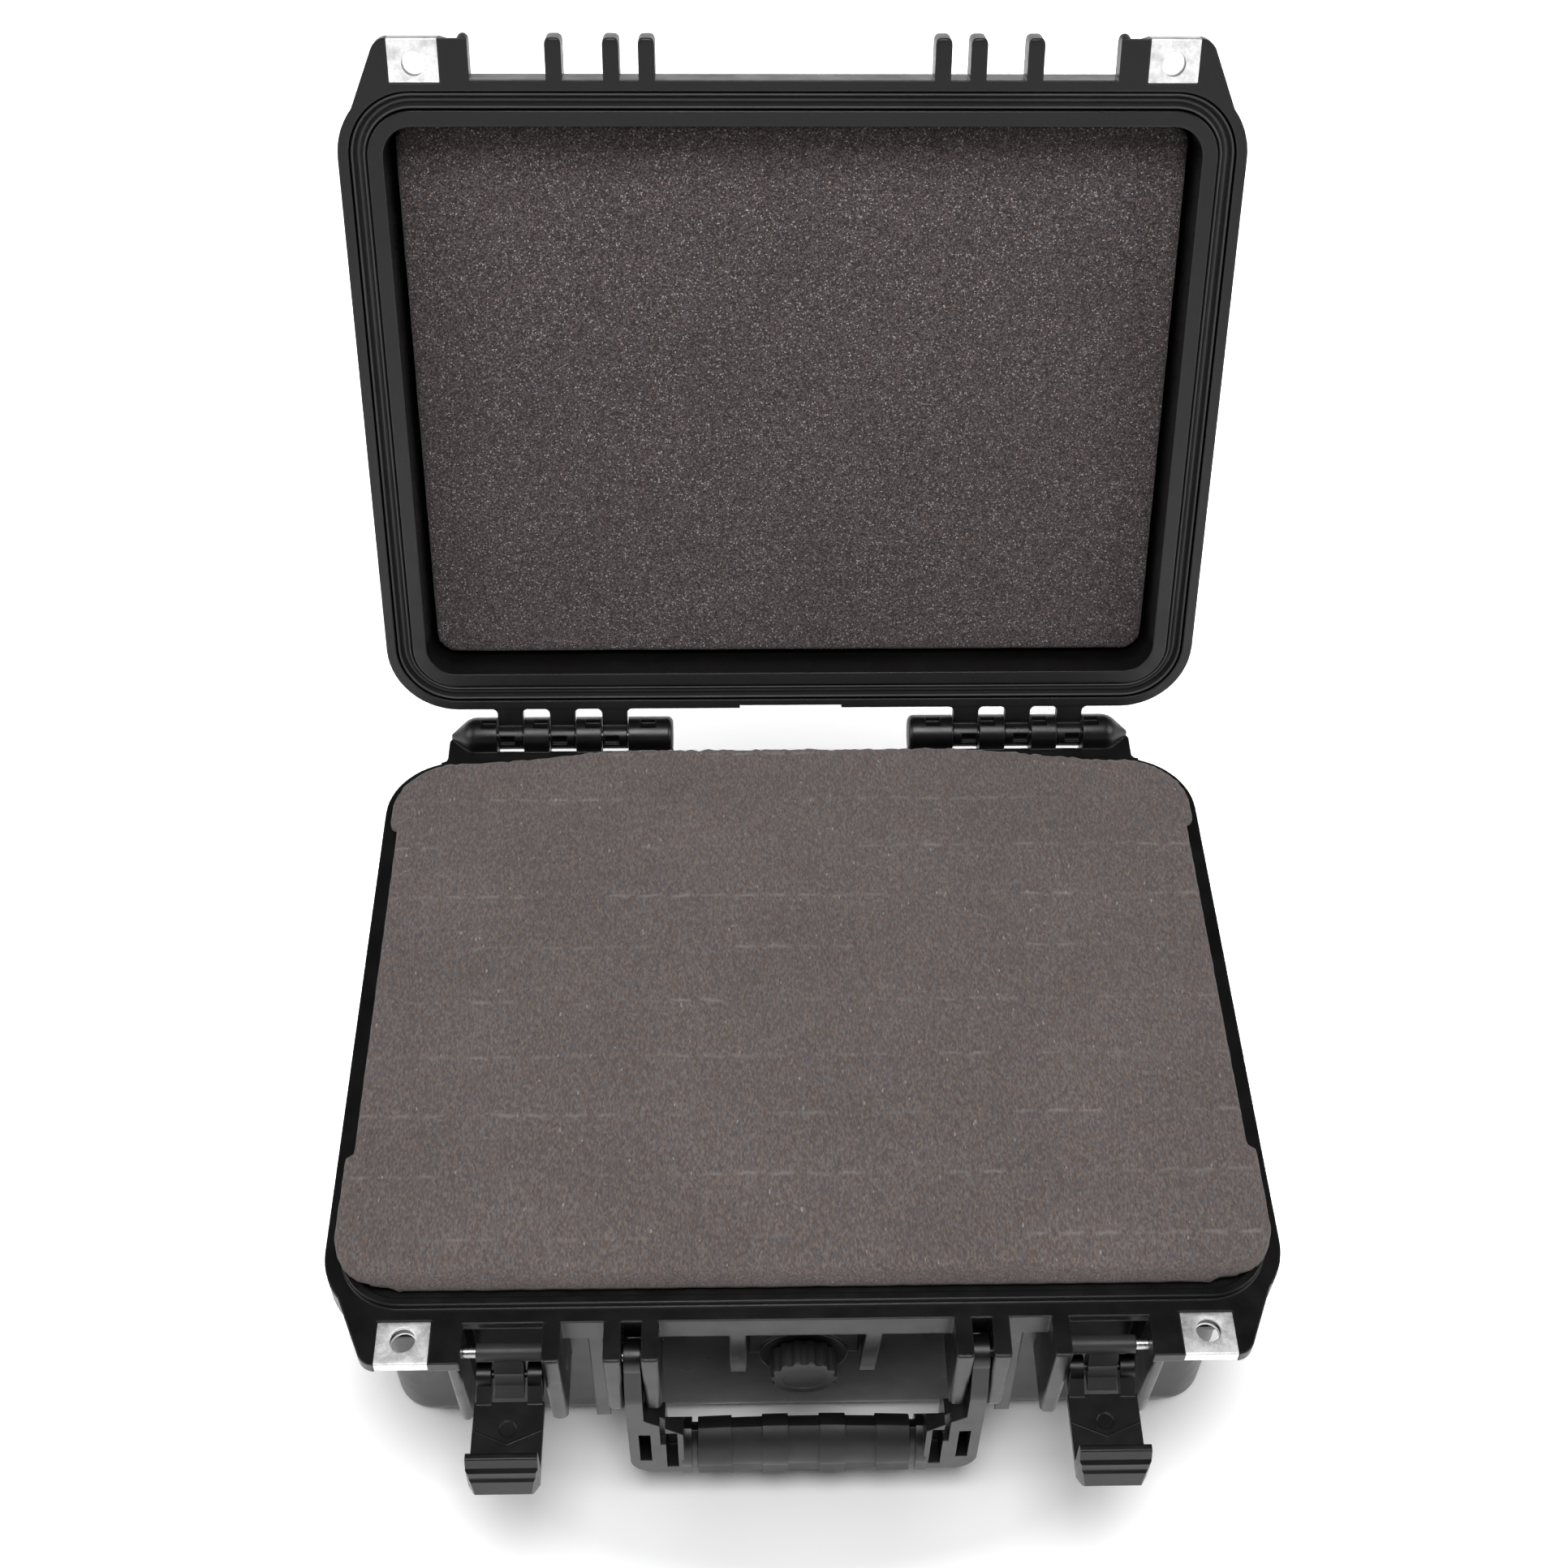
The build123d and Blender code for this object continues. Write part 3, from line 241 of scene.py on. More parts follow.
case_middle = (0.0, 0.05, 0.1)
for side_name, side in (("left", -1), ("right", 1)):
    softbox("softbox_" + side_name, (side * 1.5, -0.25, 1.2), case_middle, size=1.0, power=11.5)
softbox("softbox_overhead", (0.0, -0.5, 1.9), case_middle, size=0.8, power=19.0)
bpy.context.scene.view_settings.view_transform = "Standard"

# %% [markdown]
# ## Moulded plastic
# The shells are injection-moulded polypropylene, black all through. The mould is spark-eroded,
# which leaves a fine sandy grain, so highlights are broad and soft. Latches, handle and valve
# are nylon from smoother moulds, and the grip and the seals are rubber. All share one recipe,
# because they differ only in colour, grain and polish. Its clouds and grain are noise at a real
# size, which never stretches or repeats as a painted texture might. Sharp CAD edges get a small
# moulded radius from the Bevel node, which rounds the light and not the mesh.

# %% The recipe for moulded plastic
def moulded_plastic(name, colours, roughness, grain_mm, grain_height_mm, edge_mm):
    """Injection-moulded plastic: colours are its dark and light tone."""
    material, tree, shader, place = new_material(name)
    # The resin flows in clouds about 30 mm wide, a shade lighter or darker.
    clouds = add(tree, "TexNoise", {"Vector": place, "Scale": per_metre(30.0), "Detail": 3.0})
    tone = ramp(tree, clouds.outputs["Fac"], ((0.35, colours[0]), (0.65, colours[1])))
    tree.links.new(tone, shader.inputs["Base Color"])
    # Handling polishes it in patches about 9 mm wide.
    wear = add(tree, "TexNoise", {"Vector": place, "Scale": per_metre(9.0), "Detail": 4.0})
    polish = add(tree, "MapRange", {"Value": wear.outputs["Fac"], "From Min": 0.3, "From Max": 0.7,
                                    "To Min": roughness - 0.05, "To Max": roughness + 0.05})
    tree.links.new(polish.outputs["Result"], shader.inputs["Roughness"])
    shader.inputs["IOR"].default_value = 1.49
    edge = add(tree, "Bevel", {"Radius": edge_mm * MM}, samples=6)
    grain = add(tree, "TexNoise", {"Vector": place, "Scale": per_metre(grain_mm), "Detail": 2.0})
    bump = add(tree, "Bump", {"Height": grain.outputs["Fac"], "Distance": grain_height_mm * MM,
                              "Strength": 1.0, "Normal": edge.outputs["Normal"]})
    tree.links.new(bump.outputs["Normal"], shader.inputs["Normal"])
    return material


# %% [markdown]
# ### The plastics and rubbers
# Grain this fine can't be seen from a step away, so it is drawn a little coarser than on the
# real pieces: 0.6 mm for the shells, whose real grain is about 0.3 mm.

# %% The plastics and rubbers
# Polypropylene (PP) from a spark-eroded mould: broad soft highlights on a sandy black.
case_plastic = moulded_plastic("grained_polypropylene", ("#09090a", "#0e0e0f"), roughness=0.32,
                               grain_mm=0.6, grain_height_mm=0.025, edge_mm=1.0)
# Nylon (PA) from a smoother mould: the grain hardly shows, and highlights are clean.
latch_nylon = moulded_plastic("satin_nylon", ("#0c0c0d", "#101011"), roughness=0.34,
                              grain_mm=0.5, grain_height_mm=0.01, edge_mm=0.5)
# The valve is the same nylon, rubbed by fingers to a dull grey.
valve_nylon = moulded_plastic("rubbed_nylon", ("#343435", "#3d3d3e"), roughness=0.45,
                              grain_mm=0.5, grain_height_mm=0.015, edge_mm=0.4)
# The latch links are nylon filled with glass, whose fibres grey the surface.
link_nylon = moulded_plastic("glass_filled_nylon", ("#303031", "#3a3a3b"), roughness=0.45,
                             grain_mm=0.5, grain_height_mm=0.015, edge_mm=0.5)
# The grip is soft thermoplastic rubber (TPE) moulded over the bar: matt and slightly grey.
grip_rubber = moulded_plastic("overmoulded_rubber", ("#111112", "#171718"), roughness=0.5,
                              grain_mm=0.5, grain_height_mm=0.02, edge_mm=0.6)
# The seal is extruded EPDM rubber: dark grey, with a faint shine along its ridges.
seal_rubber = moulded_plastic("seal_rubber", ("#343435", "#3c3c3d"), roughness=0.45,
                              grain_mm=0.4, grain_height_mm=0.01, edge_mm=0.2)
# Painted shade: the faces down in its grooves get the same rubber nearly black, for the shade there.
seal_shade_rubber = moulded_plastic("seal_rubber_painted_shade", ("#030303", "#050505"), roughness=0.8,
                              grain_mm=0.4, grain_height_mm=0.01, edge_mm=0.2)
print("plastics:", [made.name for made in (case_plastic, latch_nylon, valve_nylon, link_nylon)])
print("rubbers:", [made.name for made in (grip_rubber, seal_rubber, seal_shade_rubber)])

# %% [markdown]
# ### Painted shade in the latch bays
# The wall deep inside the latch bays gets painted shade: its specular level is turned down so
# that it stays dark, as in shadow. Three comparisons of the shell's own coordinates find it on
# both sides, because they look at absolute values. That also takes in the same two places on
# the back wall, which come out too dark as well: only X ought to lose its sign.

# %% Painted shade in the latch bays
# Each row is an axis, the middle of the bay along it and half the bay's size along it.
bay_box = (("X", 105.25, 14.2), ("Y", 115.0, 13.0), ("Z", 80.0, 22.4))

tree = case_plastic.node_tree
shell_place = add(tree, "TexCoord").outputs["Object"]
unsigned = add(tree, "VectorMath", {0: shell_place}, operation="ABSOLUTE")
axes = add(tree, "SeparateXYZ", {"Vector": unsigned.outputs["Vector"]})
inside = [add(tree, "Math", {0: axes.outputs[axis], 1: middle * MM, 2: half * MM},
              operation="COMPARE").outputs[0] for axis, middle, half in bay_box]
painted_shade_mask = add(tree, "Math", {0: inside[0], 1: inside[1]}, operation="MULTIPLY")
painted_shade_mask = add(tree, "Math", {0: painted_shade_mask.outputs[0], 1: inside[2]}, operation="MULTIPLY")
# Painted shade: inside the box the specular level drops from 0.5 to 0.02, so the wall stays dark.
bay_shade_level = add(tree, "MapRange", {"Value": painted_shade_mask.outputs[0], "To Min": 0.5, "To Max": 0.02})
tree.links.new(bay_shade_level.outputs["Result"], tree.nodes["Principled BSDF"].inputs["Specular IOR Level"])
print("dulled the latch bays of", case_plastic.name)

# %% [markdown]
# ## Stainless steel
# The padlock clips are bent from rolled stainless sheet and tumbled with stones, which clouds
# them evenly: they shine broadly and in no direction. The pins are turned from stainless bar, so
# fine lines run around them. Both are one recipe, whose lines are noise drawn out along some
# axes. An anisotropic shader could turn the shine too, but the pins are too thin to show it.

# %% The recipe for steel
def stainless(name, colours, roughness, line_mm, squeeze):
    """Bright stainless steel: a factor under 1 in squeeze draws its lines out along that axis."""
    material, tree, shader, place = new_material(name)
    shader.inputs["Metallic"].default_value = 1.0
    aim = add(tree, "Mapping", {"Vector": place, "Scale": squeeze})
    lines = add(tree, "TexNoise", {"Vector": aim.outputs["Vector"], "Scale": per_metre(line_mm),
                                   "Detail": 3.0})
    tone = ramp(tree, lines.outputs["Fac"], ((0.3, colours[0]), (0.7, colours[1])))
    # Handling leaves clouded patches some 6 mm wide.
    clouds = add(tree, "TexNoise", {"Vector": place, "Scale": per_metre(6.0), "Detail": 5.0,
                                    "Roughness": 0.65})
    veil = ramp(tree, clouds.outputs["Fac"], ((0.32, "#dadada"), (0.55, "#ffffff")))
    tone = add(tree, "Mix", {0: 1.0, 6: tone, 7: veil}, data_type="RGBA",
               blend_type="MULTIPLY").outputs[2]
    tree.links.new(tone, shader.inputs["Base Color"])
    polish = add(tree, "MapRange", {"Value": lines.outputs["Fac"], "From Min": 0.3, "From Max": 0.7,
                                    "To Min": roughness - 0.06, "To Max": roughness + 0.06})
    tree.links.new(polish.outputs["Result"], shader.inputs["Roughness"])
    edge = add(tree, "Bevel", {"Radius": 0.25 * MM}, samples=4)
    bump = add(tree, "Bump", {"Height": lines.outputs["Fac"], "Distance": 0.01 * MM,
                              "Strength": 0.6, "Normal": edge.outputs["Normal"]})
    tree.links.new(bump.outputs["Normal"], shader.inputs["Normal"])
    return material


# %% [markdown]
# ### Sheet and bar
# The noise stays even on the clips. On the pins, which lie along X, it is drawn out in Y and Z,
# so its lines run around them. Both grains are drawn coarser than the real ones, some 0.2 mm.

# %% Sheet and bar
# 1 mm stainless sheet, tumbled: bright, satin and faintly clouded.
clip_steel = stainless("tumbled_stainless_sheet", ("#f0f0f0", "#fdfdfd"), roughness=0.58,
                       line_mm=0.9, squeeze=(1.0, 1.0, 1.0))
# Stainless round bar, turned and parted off: a crisp streak of light along each pin.
pin_steel = stainless("turned_stainless_bar", ("#a8a8a8", "#d8d8d8"), roughness=0.30,
                      line_mm=0.5, squeeze=(1.0, 0.15, 0.15))
print("steels:", clip_steel.name, pin_steel.name)

# %% [markdown]
# ## Finishes for the CAD pieces
# These hard pieces keep the form that the CAD model gives them and get the finish of what they
# are made of. The pins between link and lever are moulded nylon, and all other pins are steel.
# Shells, clips, foam and seal aren't here, because they are made again further on.

# %% Give the CAD nodes their materials
def paint(piece, material):
    """Put a material in every slot of a CAD node."""
    for slot in piece.material_slots:
        slot.material = material


finishes = {
    "handle_frame": latch_nylon, "handle_grip": grip_rubber,
    "valve_body": valve_nylon, "valve_nut": valve_nylon, "valve_knob": valve_nylon,
    "valve_seal_ring": seal_rubber,
}
for side in ("right", "left"):
    finishes["latch_link_" + side] = link_nylon
    finishes["latch_lever_" + side] = latch_nylon
    finishes["latch_link_pin_" + side] = latch_nylon
    for pin in ("hinge_pin_", "latch_pin_", "handle_pin_"):
        finishes[pin + side] = pin_steel
for name, material in finishes.items():
    paint(nodes[name], material)
print("painted", len(finishes), "nodes")

# %% [markdown]
# ## The breathing disc
# At the inner end of the valve's stem sits a disc of porous white PTFE membrane, which lets air
# through and keeps water out. It is sintered from powder, so it is matt and slightly mottled.

# %% Valve membrane
membrane_paint, tree, shader, place = new_material("sintered_membrane")
powder = add(tree, "TexNoise", {"Vector": place, "Scale": per_metre(0.5), "Detail": 2.0})
tone = ramp(tree, powder.outputs["Fac"], ((0.3, "#cfcfcb"), (0.7, "#e8e8e4")))
tree.links.new(tone, shader.inputs["Base Color"])
shader.inputs["Roughness"].default_value = 0.85
paint(nodes["valve_membrane"], membrane_paint)
print("painted valve_membrane")

# %% [markdown]
# ## Foam
# Both foams are open-cell polyurethane. The lid's pad is skived, so thousands of cut cell walls
# glint in it. The base's block is cut by wire and brushed, which leaves a short soft nap. Their
# cells are Voronoi cells, because real ones grow in the same way, as bubbles that meet. They are
# drawn a little coarser than the real 0.3 mm, so that they show from a step away.

# %% The recipe for foam
def open_cell_foam(name, cell_mm, nap, slant, softness, stops, tints, glint_share,
                   glint_colour, cube_marks=None):
    """Polyurethane foam, whose stops are its colours by brightness.

    Nap and slant stretch and turn its cells, softness blends them into noise, and a small share
    of its cut walls glints.
    """
    material, tree, shader, place = new_material(name)
    aim = add(tree, "Mapping", {"Vector": place, "Scale": nap, "Rotation": (0.0, 0.0, slant)})
    cells = add(tree, "TexVoronoi", {"Vector": aim.outputs["Vector"], "Scale": per_metre(cell_mm)})
    split = add(tree, "SeparateColor", {"Color": cells.outputs["Color"]})
    soft = add(tree, "TexNoise", {"Vector": aim.outputs["Vector"], "Scale": per_metre(cell_mm * 1.6),
                                  "Detail": 5.0, "Roughness": 0.75})
    shade = add(tree, "Mix", {0: softness, 2: split.outputs[0], 3: soft.outputs["Fac"]})
    tone = ramp(tree, shade.outputs[0], stops)
    # Cut walls catch the light with faint tints of their own, brown, grey or blue.
    hues = add(tree, "SeparateColor", {"Color": soft.outputs["Color"]})
    hue = add(tree, "Mix", {0: 0.6, 2: split.outputs[2], 3: hues.outputs[2]})
    tint = ramp(tree, hue.outputs[0], ((0.25, tints[0]), (0.75, tints[1])))
    tone = add(tree, "Mix", {0: 1.0, 6: tone, 7: tint}, data_type="RGBA",
               blend_type="SOFT_LIGHT").outputs[2]
    if cube_marks:
        tone = add_cube_marks(tree, place, tone, cube_marks)
    # A few cut walls lie just so and shine.
    glint = add(tree, "Math", {0: split.outputs[1], 1: 1.0 - glint_share}, operation="GREATER_THAN")
    tone = add(tree, "Mix", {0: glint.outputs[0], 6: tone, 7: linear(glint_colour)},
               data_type="RGBA").outputs[2]
    # The whole pad is a little uneven in tone over some 60 mm.
    broad = add(tree, "TexNoise", {"Vector": place, "Scale": per_metre(60.0), "Detail": 2.0})
    level = add(tree, "MapRange", {"Value": broad.outputs["Fac"], "From Min": 0.3, "From Max": 0.7,
                                   "To Min": 0.93, "To Max": 1.07})
    tone = add(tree, "VectorMath", {0: tone, "Scale": level.outputs["Result"]},
               operation="SCALE").outputs["Vector"]
    tree.links.new(tone, shader.inputs["Base Color"])
    shader.inputs["Roughness"].default_value = 0.9
    shader.inputs["Specular IOR Level"].default_value = 0.25
    shader.inputs["Sheen Weight"].default_value = 0.15
    shader.inputs["Sheen Roughness"].default_value = 0.6
    bump = add(tree, "Bump", {"Height": shade.outputs[0], "Distance": cell_mm * 0.5 * MM,
                              "Strength": 0.6})
    tree.links.new(bump.outputs["Normal"], shader.inputs["Normal"])
    return material


# %% [markdown]
# ### Marks of the cubes
# The base's block is pre-cut into half-inch cubes that can be plucked out. The cuts close up
# again, so only faint marks run across it: broken at the cubes' corners, wandering by a
# millimetre or two, and seen only in patches. Cutting them into the mesh would show far more.

# %% Marks of the cubes
def add_cube_marks(tree, place, tone, mark_colour):
    """Faint broken lines where the foam is pre-cut into half-inch cubes."""
    cube = 12.7 * MM
    wander = add(tree, "TexNoise", {"Vector": place, "Scale": per_metre(7.0), "Detail": 2.0})
    moved = add(tree, "VectorMath", {0: wander.outputs["Color"], "Scale": 2.6 * MM},
                operation="SCALE")
    moved = add(tree, "VectorMath", {0: place, 1: moved.outputs["Vector"]})
    axes = add(tree, "SeparateXYZ", {"Vector": moved.outputs["Vector"]})
    # Every second cut across the block shows, as a row of dashes one cube apart.
    across = add(tree, "Math", {0: axes.outputs["Y"], 1: cube}, operation="PINGPONG")
    line = add(tree, "MapRange", {"Value": across.outputs[0], "From Min": 0.0, "From Max": 1.1 * MM,
                                  "To Min": 1.0, "To Max": 0.0})
    along = add(tree, "Math", {0: axes.outputs["X"], 1: cube / 2}, operation="PINGPONG")
    dash = add(tree, "MapRange", {"Value": along.outputs[0], "From Min": 1.2 * MM,
                                  "From Max": 3.6 * MM, "To Min": 0.0, "To Max": 1.0})
    patchy = add(tree, "TexNoise", {"Vector": place, "Scale": per_metre(28.0), "Detail": 2.0})
    seen_here = add(tree, "MapRange", {"Value": patchy.outputs["Fac"], "From Min": 0.42,
                                       "From Max": 0.62, "To Min": 0.0, "To Max": 0.5})
    share = add(tree, "Math", {0: line.outputs["Result"], 1: dash.outputs["Result"]},
                operation="MULTIPLY")
    share = add(tree, "Math", {0: share.outputs[0], 1: seen_here.outputs["Result"]},
                operation="MULTIPLY")
    return add(tree, "Mix", {0: share.outputs[0], 6: tone, 7: linear(mark_colour)},
               data_type="RGBA").outputs[2]


# %% The two foams
# Grey polyurethane foam (PU), cut by hot wire and brushed: a matt nap that leans one way.
brushed_foam = open_cell_foam(
    "brushed_polyurethane_foam", cell_mm=0.5, nap=(1.0, 0.38, 1.0), slant=math.radians(12),
    softness=0.75, stops=((0.25, "#4b4543"), (0.5, "#635c5a"), (0.75, "#807975")),
    tints=("#cdb9aa", "#b2bdcb"), glint_share=0.002, glint_colour="#96918e",
    cube_marks="#918d8b")
# The same foam skived by a band knife: open cells, darker between their glinting walls.
skived_foam = open_cell_foam(
    "skived_polyurethane_foam", cell_mm=0.42, nap=(1.0, 1.0, 1.0), slant=0.0,
    softness=0.45, stops=((0.1, "#120f0e"), (0.5, "#403a39"), (0.9, "#857e7c")),
    tints=("#cfb5a6", "#a9b8d0"), glint_share=0.03, glint_colour="#b4afad")
print("foams:", brushed_foam.name, skived_foam.name)

# %% [markdown]
# ## Foam bodies
# A cut block of foam is nearly a box, but its edges are soft and its faces never quite flat.
# It could be modelled by hand; here each block starts from the CAD solid that says how much
# room it has, gets an even skin of small faces from a voxel remesh, is smoothed, and is then
# pushed in and out by noise much as a real cut wavers.

# %% Helpers for foam bodies
# The turn that takes a piece of the closed lid to its place on the open one.
lid_open = math.radians(108.65)
hinge_place = Vector((0.0, 143.7 * MM, 107.3 * MM))
open_turn = (Matrix.Translation(hinge_place) @ Matrix.Rotation(-lid_open, 4, "X")
             @ Matrix.Translation(-hinge_place))


def evened(node, name, voxel_mm, from_lid=False):
    """A copy of a CAD solid with an even skin; a lid piece is worked on in its closed place."""
    mesh = nodes[node].data.copy()
    form = bmesh.new()
    form.from_mesh(mesh)
    bmesh.ops.remove_doubles(form, verts=form.verts, dist=0.01 * MM)
    if from_lid:
        form.transform(open_turn.inverted())
    form.to_mesh(mesh)
    form.free()
    piece = show(name, mesh)
    skin = piece.modifiers.new("even skin", "REMESH")
    skin.mode = "VOXEL"
    skin.voxel_size = voxel_mm * MM
    graph = bpy.context.evaluated_depsgraph_get()
    finished = bpy.data.meshes.new_from_object(piece.evaluated_get(graph))
    piece.modifiers.clear()
    piece.data = finished
    finished.name = name
    return piece


def soften(piece, waver_mm, wave_mm, shape=None, to_lid=False):
    """Round a block's edges, let a shaping function move its points, and waver its faces."""
    form = bmesh.new()
    form.from_mesh(piece.data)
    bmesh.ops.smooth_vert(form, verts=form.verts, factor=0.5,
                          use_axis_x=True, use_axis_y=True, use_axis_z=True)
    if shape:
        for vertex in form.verts:
            vertex.co = shape(vertex.co)
    form.normal_update()
    # The noise lies between -1 and 1. Half is taken off it, so the block rather shrinks.
    moves = []
    for vertex in form.verts:
        swell = noise.noise(vertex.co * per_metre(wave_mm)) - 0.5
        moves.append(vertex.normal * swell * waver_mm * MM)
    for vertex, move in zip(form.verts, moves):
        vertex.co += move
    if to_lid:
        form.transform(open_turn)
    form.to_mesh(piece.data)
    form.free()
    piece.data.shade_smooth()
    piece.data.materials.clear()


# %% [markdown]
# ### The base's top block
# It stands proud of the rim. Its sides are pinched a little between four wider corners, its
# front face leans back, and its back edge is frayed where the wire left the block.

# %% The top block's shape
# Each pair in a smooth_step below says where along an axis a change begins and where it is full.
ear_reach = 3.0                # the four corners stand out this far past the pinched sides
apron_end_x = 140.6            # beyond this the front lip has no apron under it
lip_drop = 1.15                # so its underside comes down by this to meet the apron's line
front_lean = 0.5               # the front face leans back by this share of its height
back_bow = 7.5                 # the back edge falls away by this toward the corners
back_corner_x, back_corner_y, back_radius = 137.5, 94.0, 28.0
front_corner_x, front_corner_y = 141.5, -97.0
squareness = 3.2               # 2 is a round corner and more is a squarer one
fray_depth = 1.2
crown_height = 0.45


def round_back_corner(x, y, proud):
    """Pull a point in to the round back corner, in part where it isn't fully proud."""
    corner_x, corner_y = abs(x) - back_corner_x, y - back_corner_y
    from_corner = math.hypot(corner_x, corner_y)
    if corner_x <= 0 or corner_y <= 0 or from_corner <= back_radius:
        return x, y
    pull = 1.0 - proud * (1.0 - back_radius / from_corner)
    return math.copysign(back_corner_x + corner_x * pull, x), back_corner_y + corner_y * pull


def square_front_corner(x, y, proud):
    """Push a point of the front corner out from a circle to a squarer curve."""
    corner_x, corner_y = abs(x) - front_corner_x, front_corner_y - y
    if corner_x <= 0 or corner_y <= 0:
        return x, y
    turn = math.atan2(corner_y, corner_x)
    squarer = (math.cos(turn) ** squareness + math.sin(turn) ** squareness) ** (-1 / squareness)
    stretch = 1.0 + proud * (squarer - 1.0)
    return math.copysign(front_corner_x + corner_x * stretch, x), front_corner_y - corner_y * stretch


def top_block_shape(place):
    """Give the proud block its corner ears, leaning front and frayed back."""
    x, y, z = (value / MM for value in place)
    proud = smooth_step(106.5, 109.0, z)
    front_ear = smooth_step(-66.5, -69.5, y) * smooth_step(-122.0, -100.0, y)
    back_ear = smooth_step(90.5, 93.5, y) * smooth_step(128.0, 114.0, y)
    reach = smooth_step(146.0, 160.0, abs(x)) * proud
    x += math.copysign(ear_reach * reach * max(front_ear, back_ear), x)
    if abs(x) > apron_end_x:
        drop = smooth_step(154.0, 142.0, abs(x)) * smooth_step(-110.0, -114.0, y)
        z -= lip_drop * drop * smooth_step(112.0, 109.3, z) * smooth_step(106.4, 108.6, z)
    lean = smooth_step(-100.0, -114.0, y) * proud
    y += lean * ((z - 108.0) * front_lean - 0.5)
    y -= back_bow * smooth_step(60.0, 145.0, abs(x)) * smooth_step(60.0, 125.0, y) * proud
    x, y = round_back_corner(x, y, proud)
    x, y = square_front_corner(x, y, proud)
    fray = smooth_step(118.0, 122.5, y) * proud
    y += fray * fray_depth * noise.noise(Vector((x / 3.1, z / 1.3, 4.0)))
    crown = smooth_step(112.0, 115.0, z)
    z += crown * crown_height * noise.noise(Vector((x / 26.0, y / 22.0, 1.5)))
    return Vector((x, y, z)) * MM


# %% Base foam, top layer
# The shut lid presses it down on its underside, at 66 mm, to 0.79 of its thickness.
base_top = evened("base_foam_top", "base_foam_top_block", voxel_mm=2.0)
soften(base_top, waver_mm=0.25, wave_mm=6.0, shape=top_block_shape)
base_top.data.materials.append(brushed_foam)
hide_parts("base_foam_top")
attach(base_top, "case_base")
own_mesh(base_top)
print("base foam top:", len(base_top.data.polygons), "faces")

# %% [markdown]
# ### The hidden layers
# Below it lie a second cubed block and a plain bottom pad. They only show when the top is
# lifted out, so a coarser skin is enough.

# %% Base foam, lower layers
# The pad is skived foam like the lid's, so it gets the lid's foam material.
for node, foam, slot_name in (("base_foam_lower", brushed_foam, "base_foam"),
                              ("base_foam_pad", skived_foam, "lid_foam")):
    layer = evened(node, node + "_block", voxel_mm=4.0)
    soften(layer, waver_mm=0.3, wave_mm=9.0)
    layer.data.materials.append(foam)
    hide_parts(node)
    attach(layer, "case_base")
    print(layer.name, len(layer.data.polygons), "faces")

# %% [markdown]
# ### The lid's pad
# It is glued into the lid's top, with straight knife-cut edges. It is worked on in its closed
# place, where its faces lie along the axes and so along the rows of the voxel remesh.

# %% Lid foam
lid_pad = evened("lid_foam", "lid_foam_pad", voxel_mm=2.2, from_lid=True)
soften(lid_pad, waver_mm=0.15, wave_mm=9.0, to_lid=True)
lid_pad.data.materials.append(skived_foam)
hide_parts("lid_foam")
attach(lid_pad, "lid")
print("lid foam:", len(lid_pad.data.polygons), "faces")

# %% [markdown]
# ## Rounded rib tips
# The ribs beside the latches and the handle are narrow walls with rounded noses, because their
# slots are milled into the mould by a round cutter and the nose opens out as it goes down. The
# CAD ribs have square fronts, so each shell is made again from a copy: the front of every rib
# is cut into narrow strips from top to end, and the strips near its corners are pushed back.
# A bevel of the upright edges would be quicker, but it can't follow the rib's curved end. The
# low rib beside each handle arm also gets its full length here.

# %% Helpers for rib noses
# Each rib is given by the places of its two sides along X.
right_ribs = [(51.2, 57.2), (64.2, 70.2), (85.1, 91.1), (119.4, 123.5)]
left_ribs = [(-high, -low) for low, high in right_ribs]
strip_depths = [2.2, 1.6, 1.1, 0.65, 0.3, 0.08]      # from a rib's side to each cut
shells_front_y = -118.0        # the ribs and the front of the rim lie in front of this
noses_y = -136.5               # only the noses of ribs lie in front of this
push_begins_y, push_full_y = -134.0, -138.0
rim_height = 106.0
nose_height = 50.0             # the nose opens out over this much of its height
low_rib_lower = 7.0
low_rib_out = 1.5
slack = 0.02


def cut_strips(form, low, high):
    """Cut the front of one rib into upright strips."""
    # The keys of a dict keep their order, so each run gives the same mesh.
    for depth in strip_depths:
        for place in (low + depth, high - depth):
            front = [face for face in form.faces if all(
                vertex.co.y < noses_y * MM and low - slack < vertex.co.x / MM < high + slack
                for vertex in face.verts)]
            edges = dict.fromkeys(edge for face in front for edge in face.edges)
            points = dict.fromkeys(vertex for face in front for vertex in face.verts)
            bmesh.ops.bisect_plane(form, geom=[*front, *edges, *points], dist=1e-6,
                                   plane_co=(place * MM, 0.0, 0.0), plane_no=(1.0, 0.0, 0.0))


def push_back(place, low, high, top_radius, end_radius):
    """The same point with a rib's nose rounded. The push fades out behind the nose."""
    x, y, z = (value / MM for value in place)
    half = (high - low) / 2.0
    if not low - slack < x < high + slack or y > push_begins_y:
        return place
    down = min(max((rim_height - z) / nose_height, 0.0), 1.0)
    radius = min(top_radius + (end_radius - top_radius) * down, half - 0.05)
    beyond = max(abs(x - (low + high) / 2.0) - (half - radius), 0.0)
    back = radius - math.sqrt(max(radius * radius - beyond * beyond, 0.0))
    return Vector((x, y + back * smooth_step(push_begins_y, push_full_y, y), z)) * MM


def longer_low_rib(place):
    """The same point with the low rib beside the handle ending lower and farther out."""
    x, y, z = (value / MM for value in place)
    # These limits take in the lower end of that rib and nothing else.
    if 70.9 < abs(x) < 76.4 and -131.0 < y < -118.0 and 38.0 < z < 52.0:
        z -= low_rib_lower
        y -= low_rib_out if y < -127.0 else 0.0
    return Vector((x, y, z)) * MM


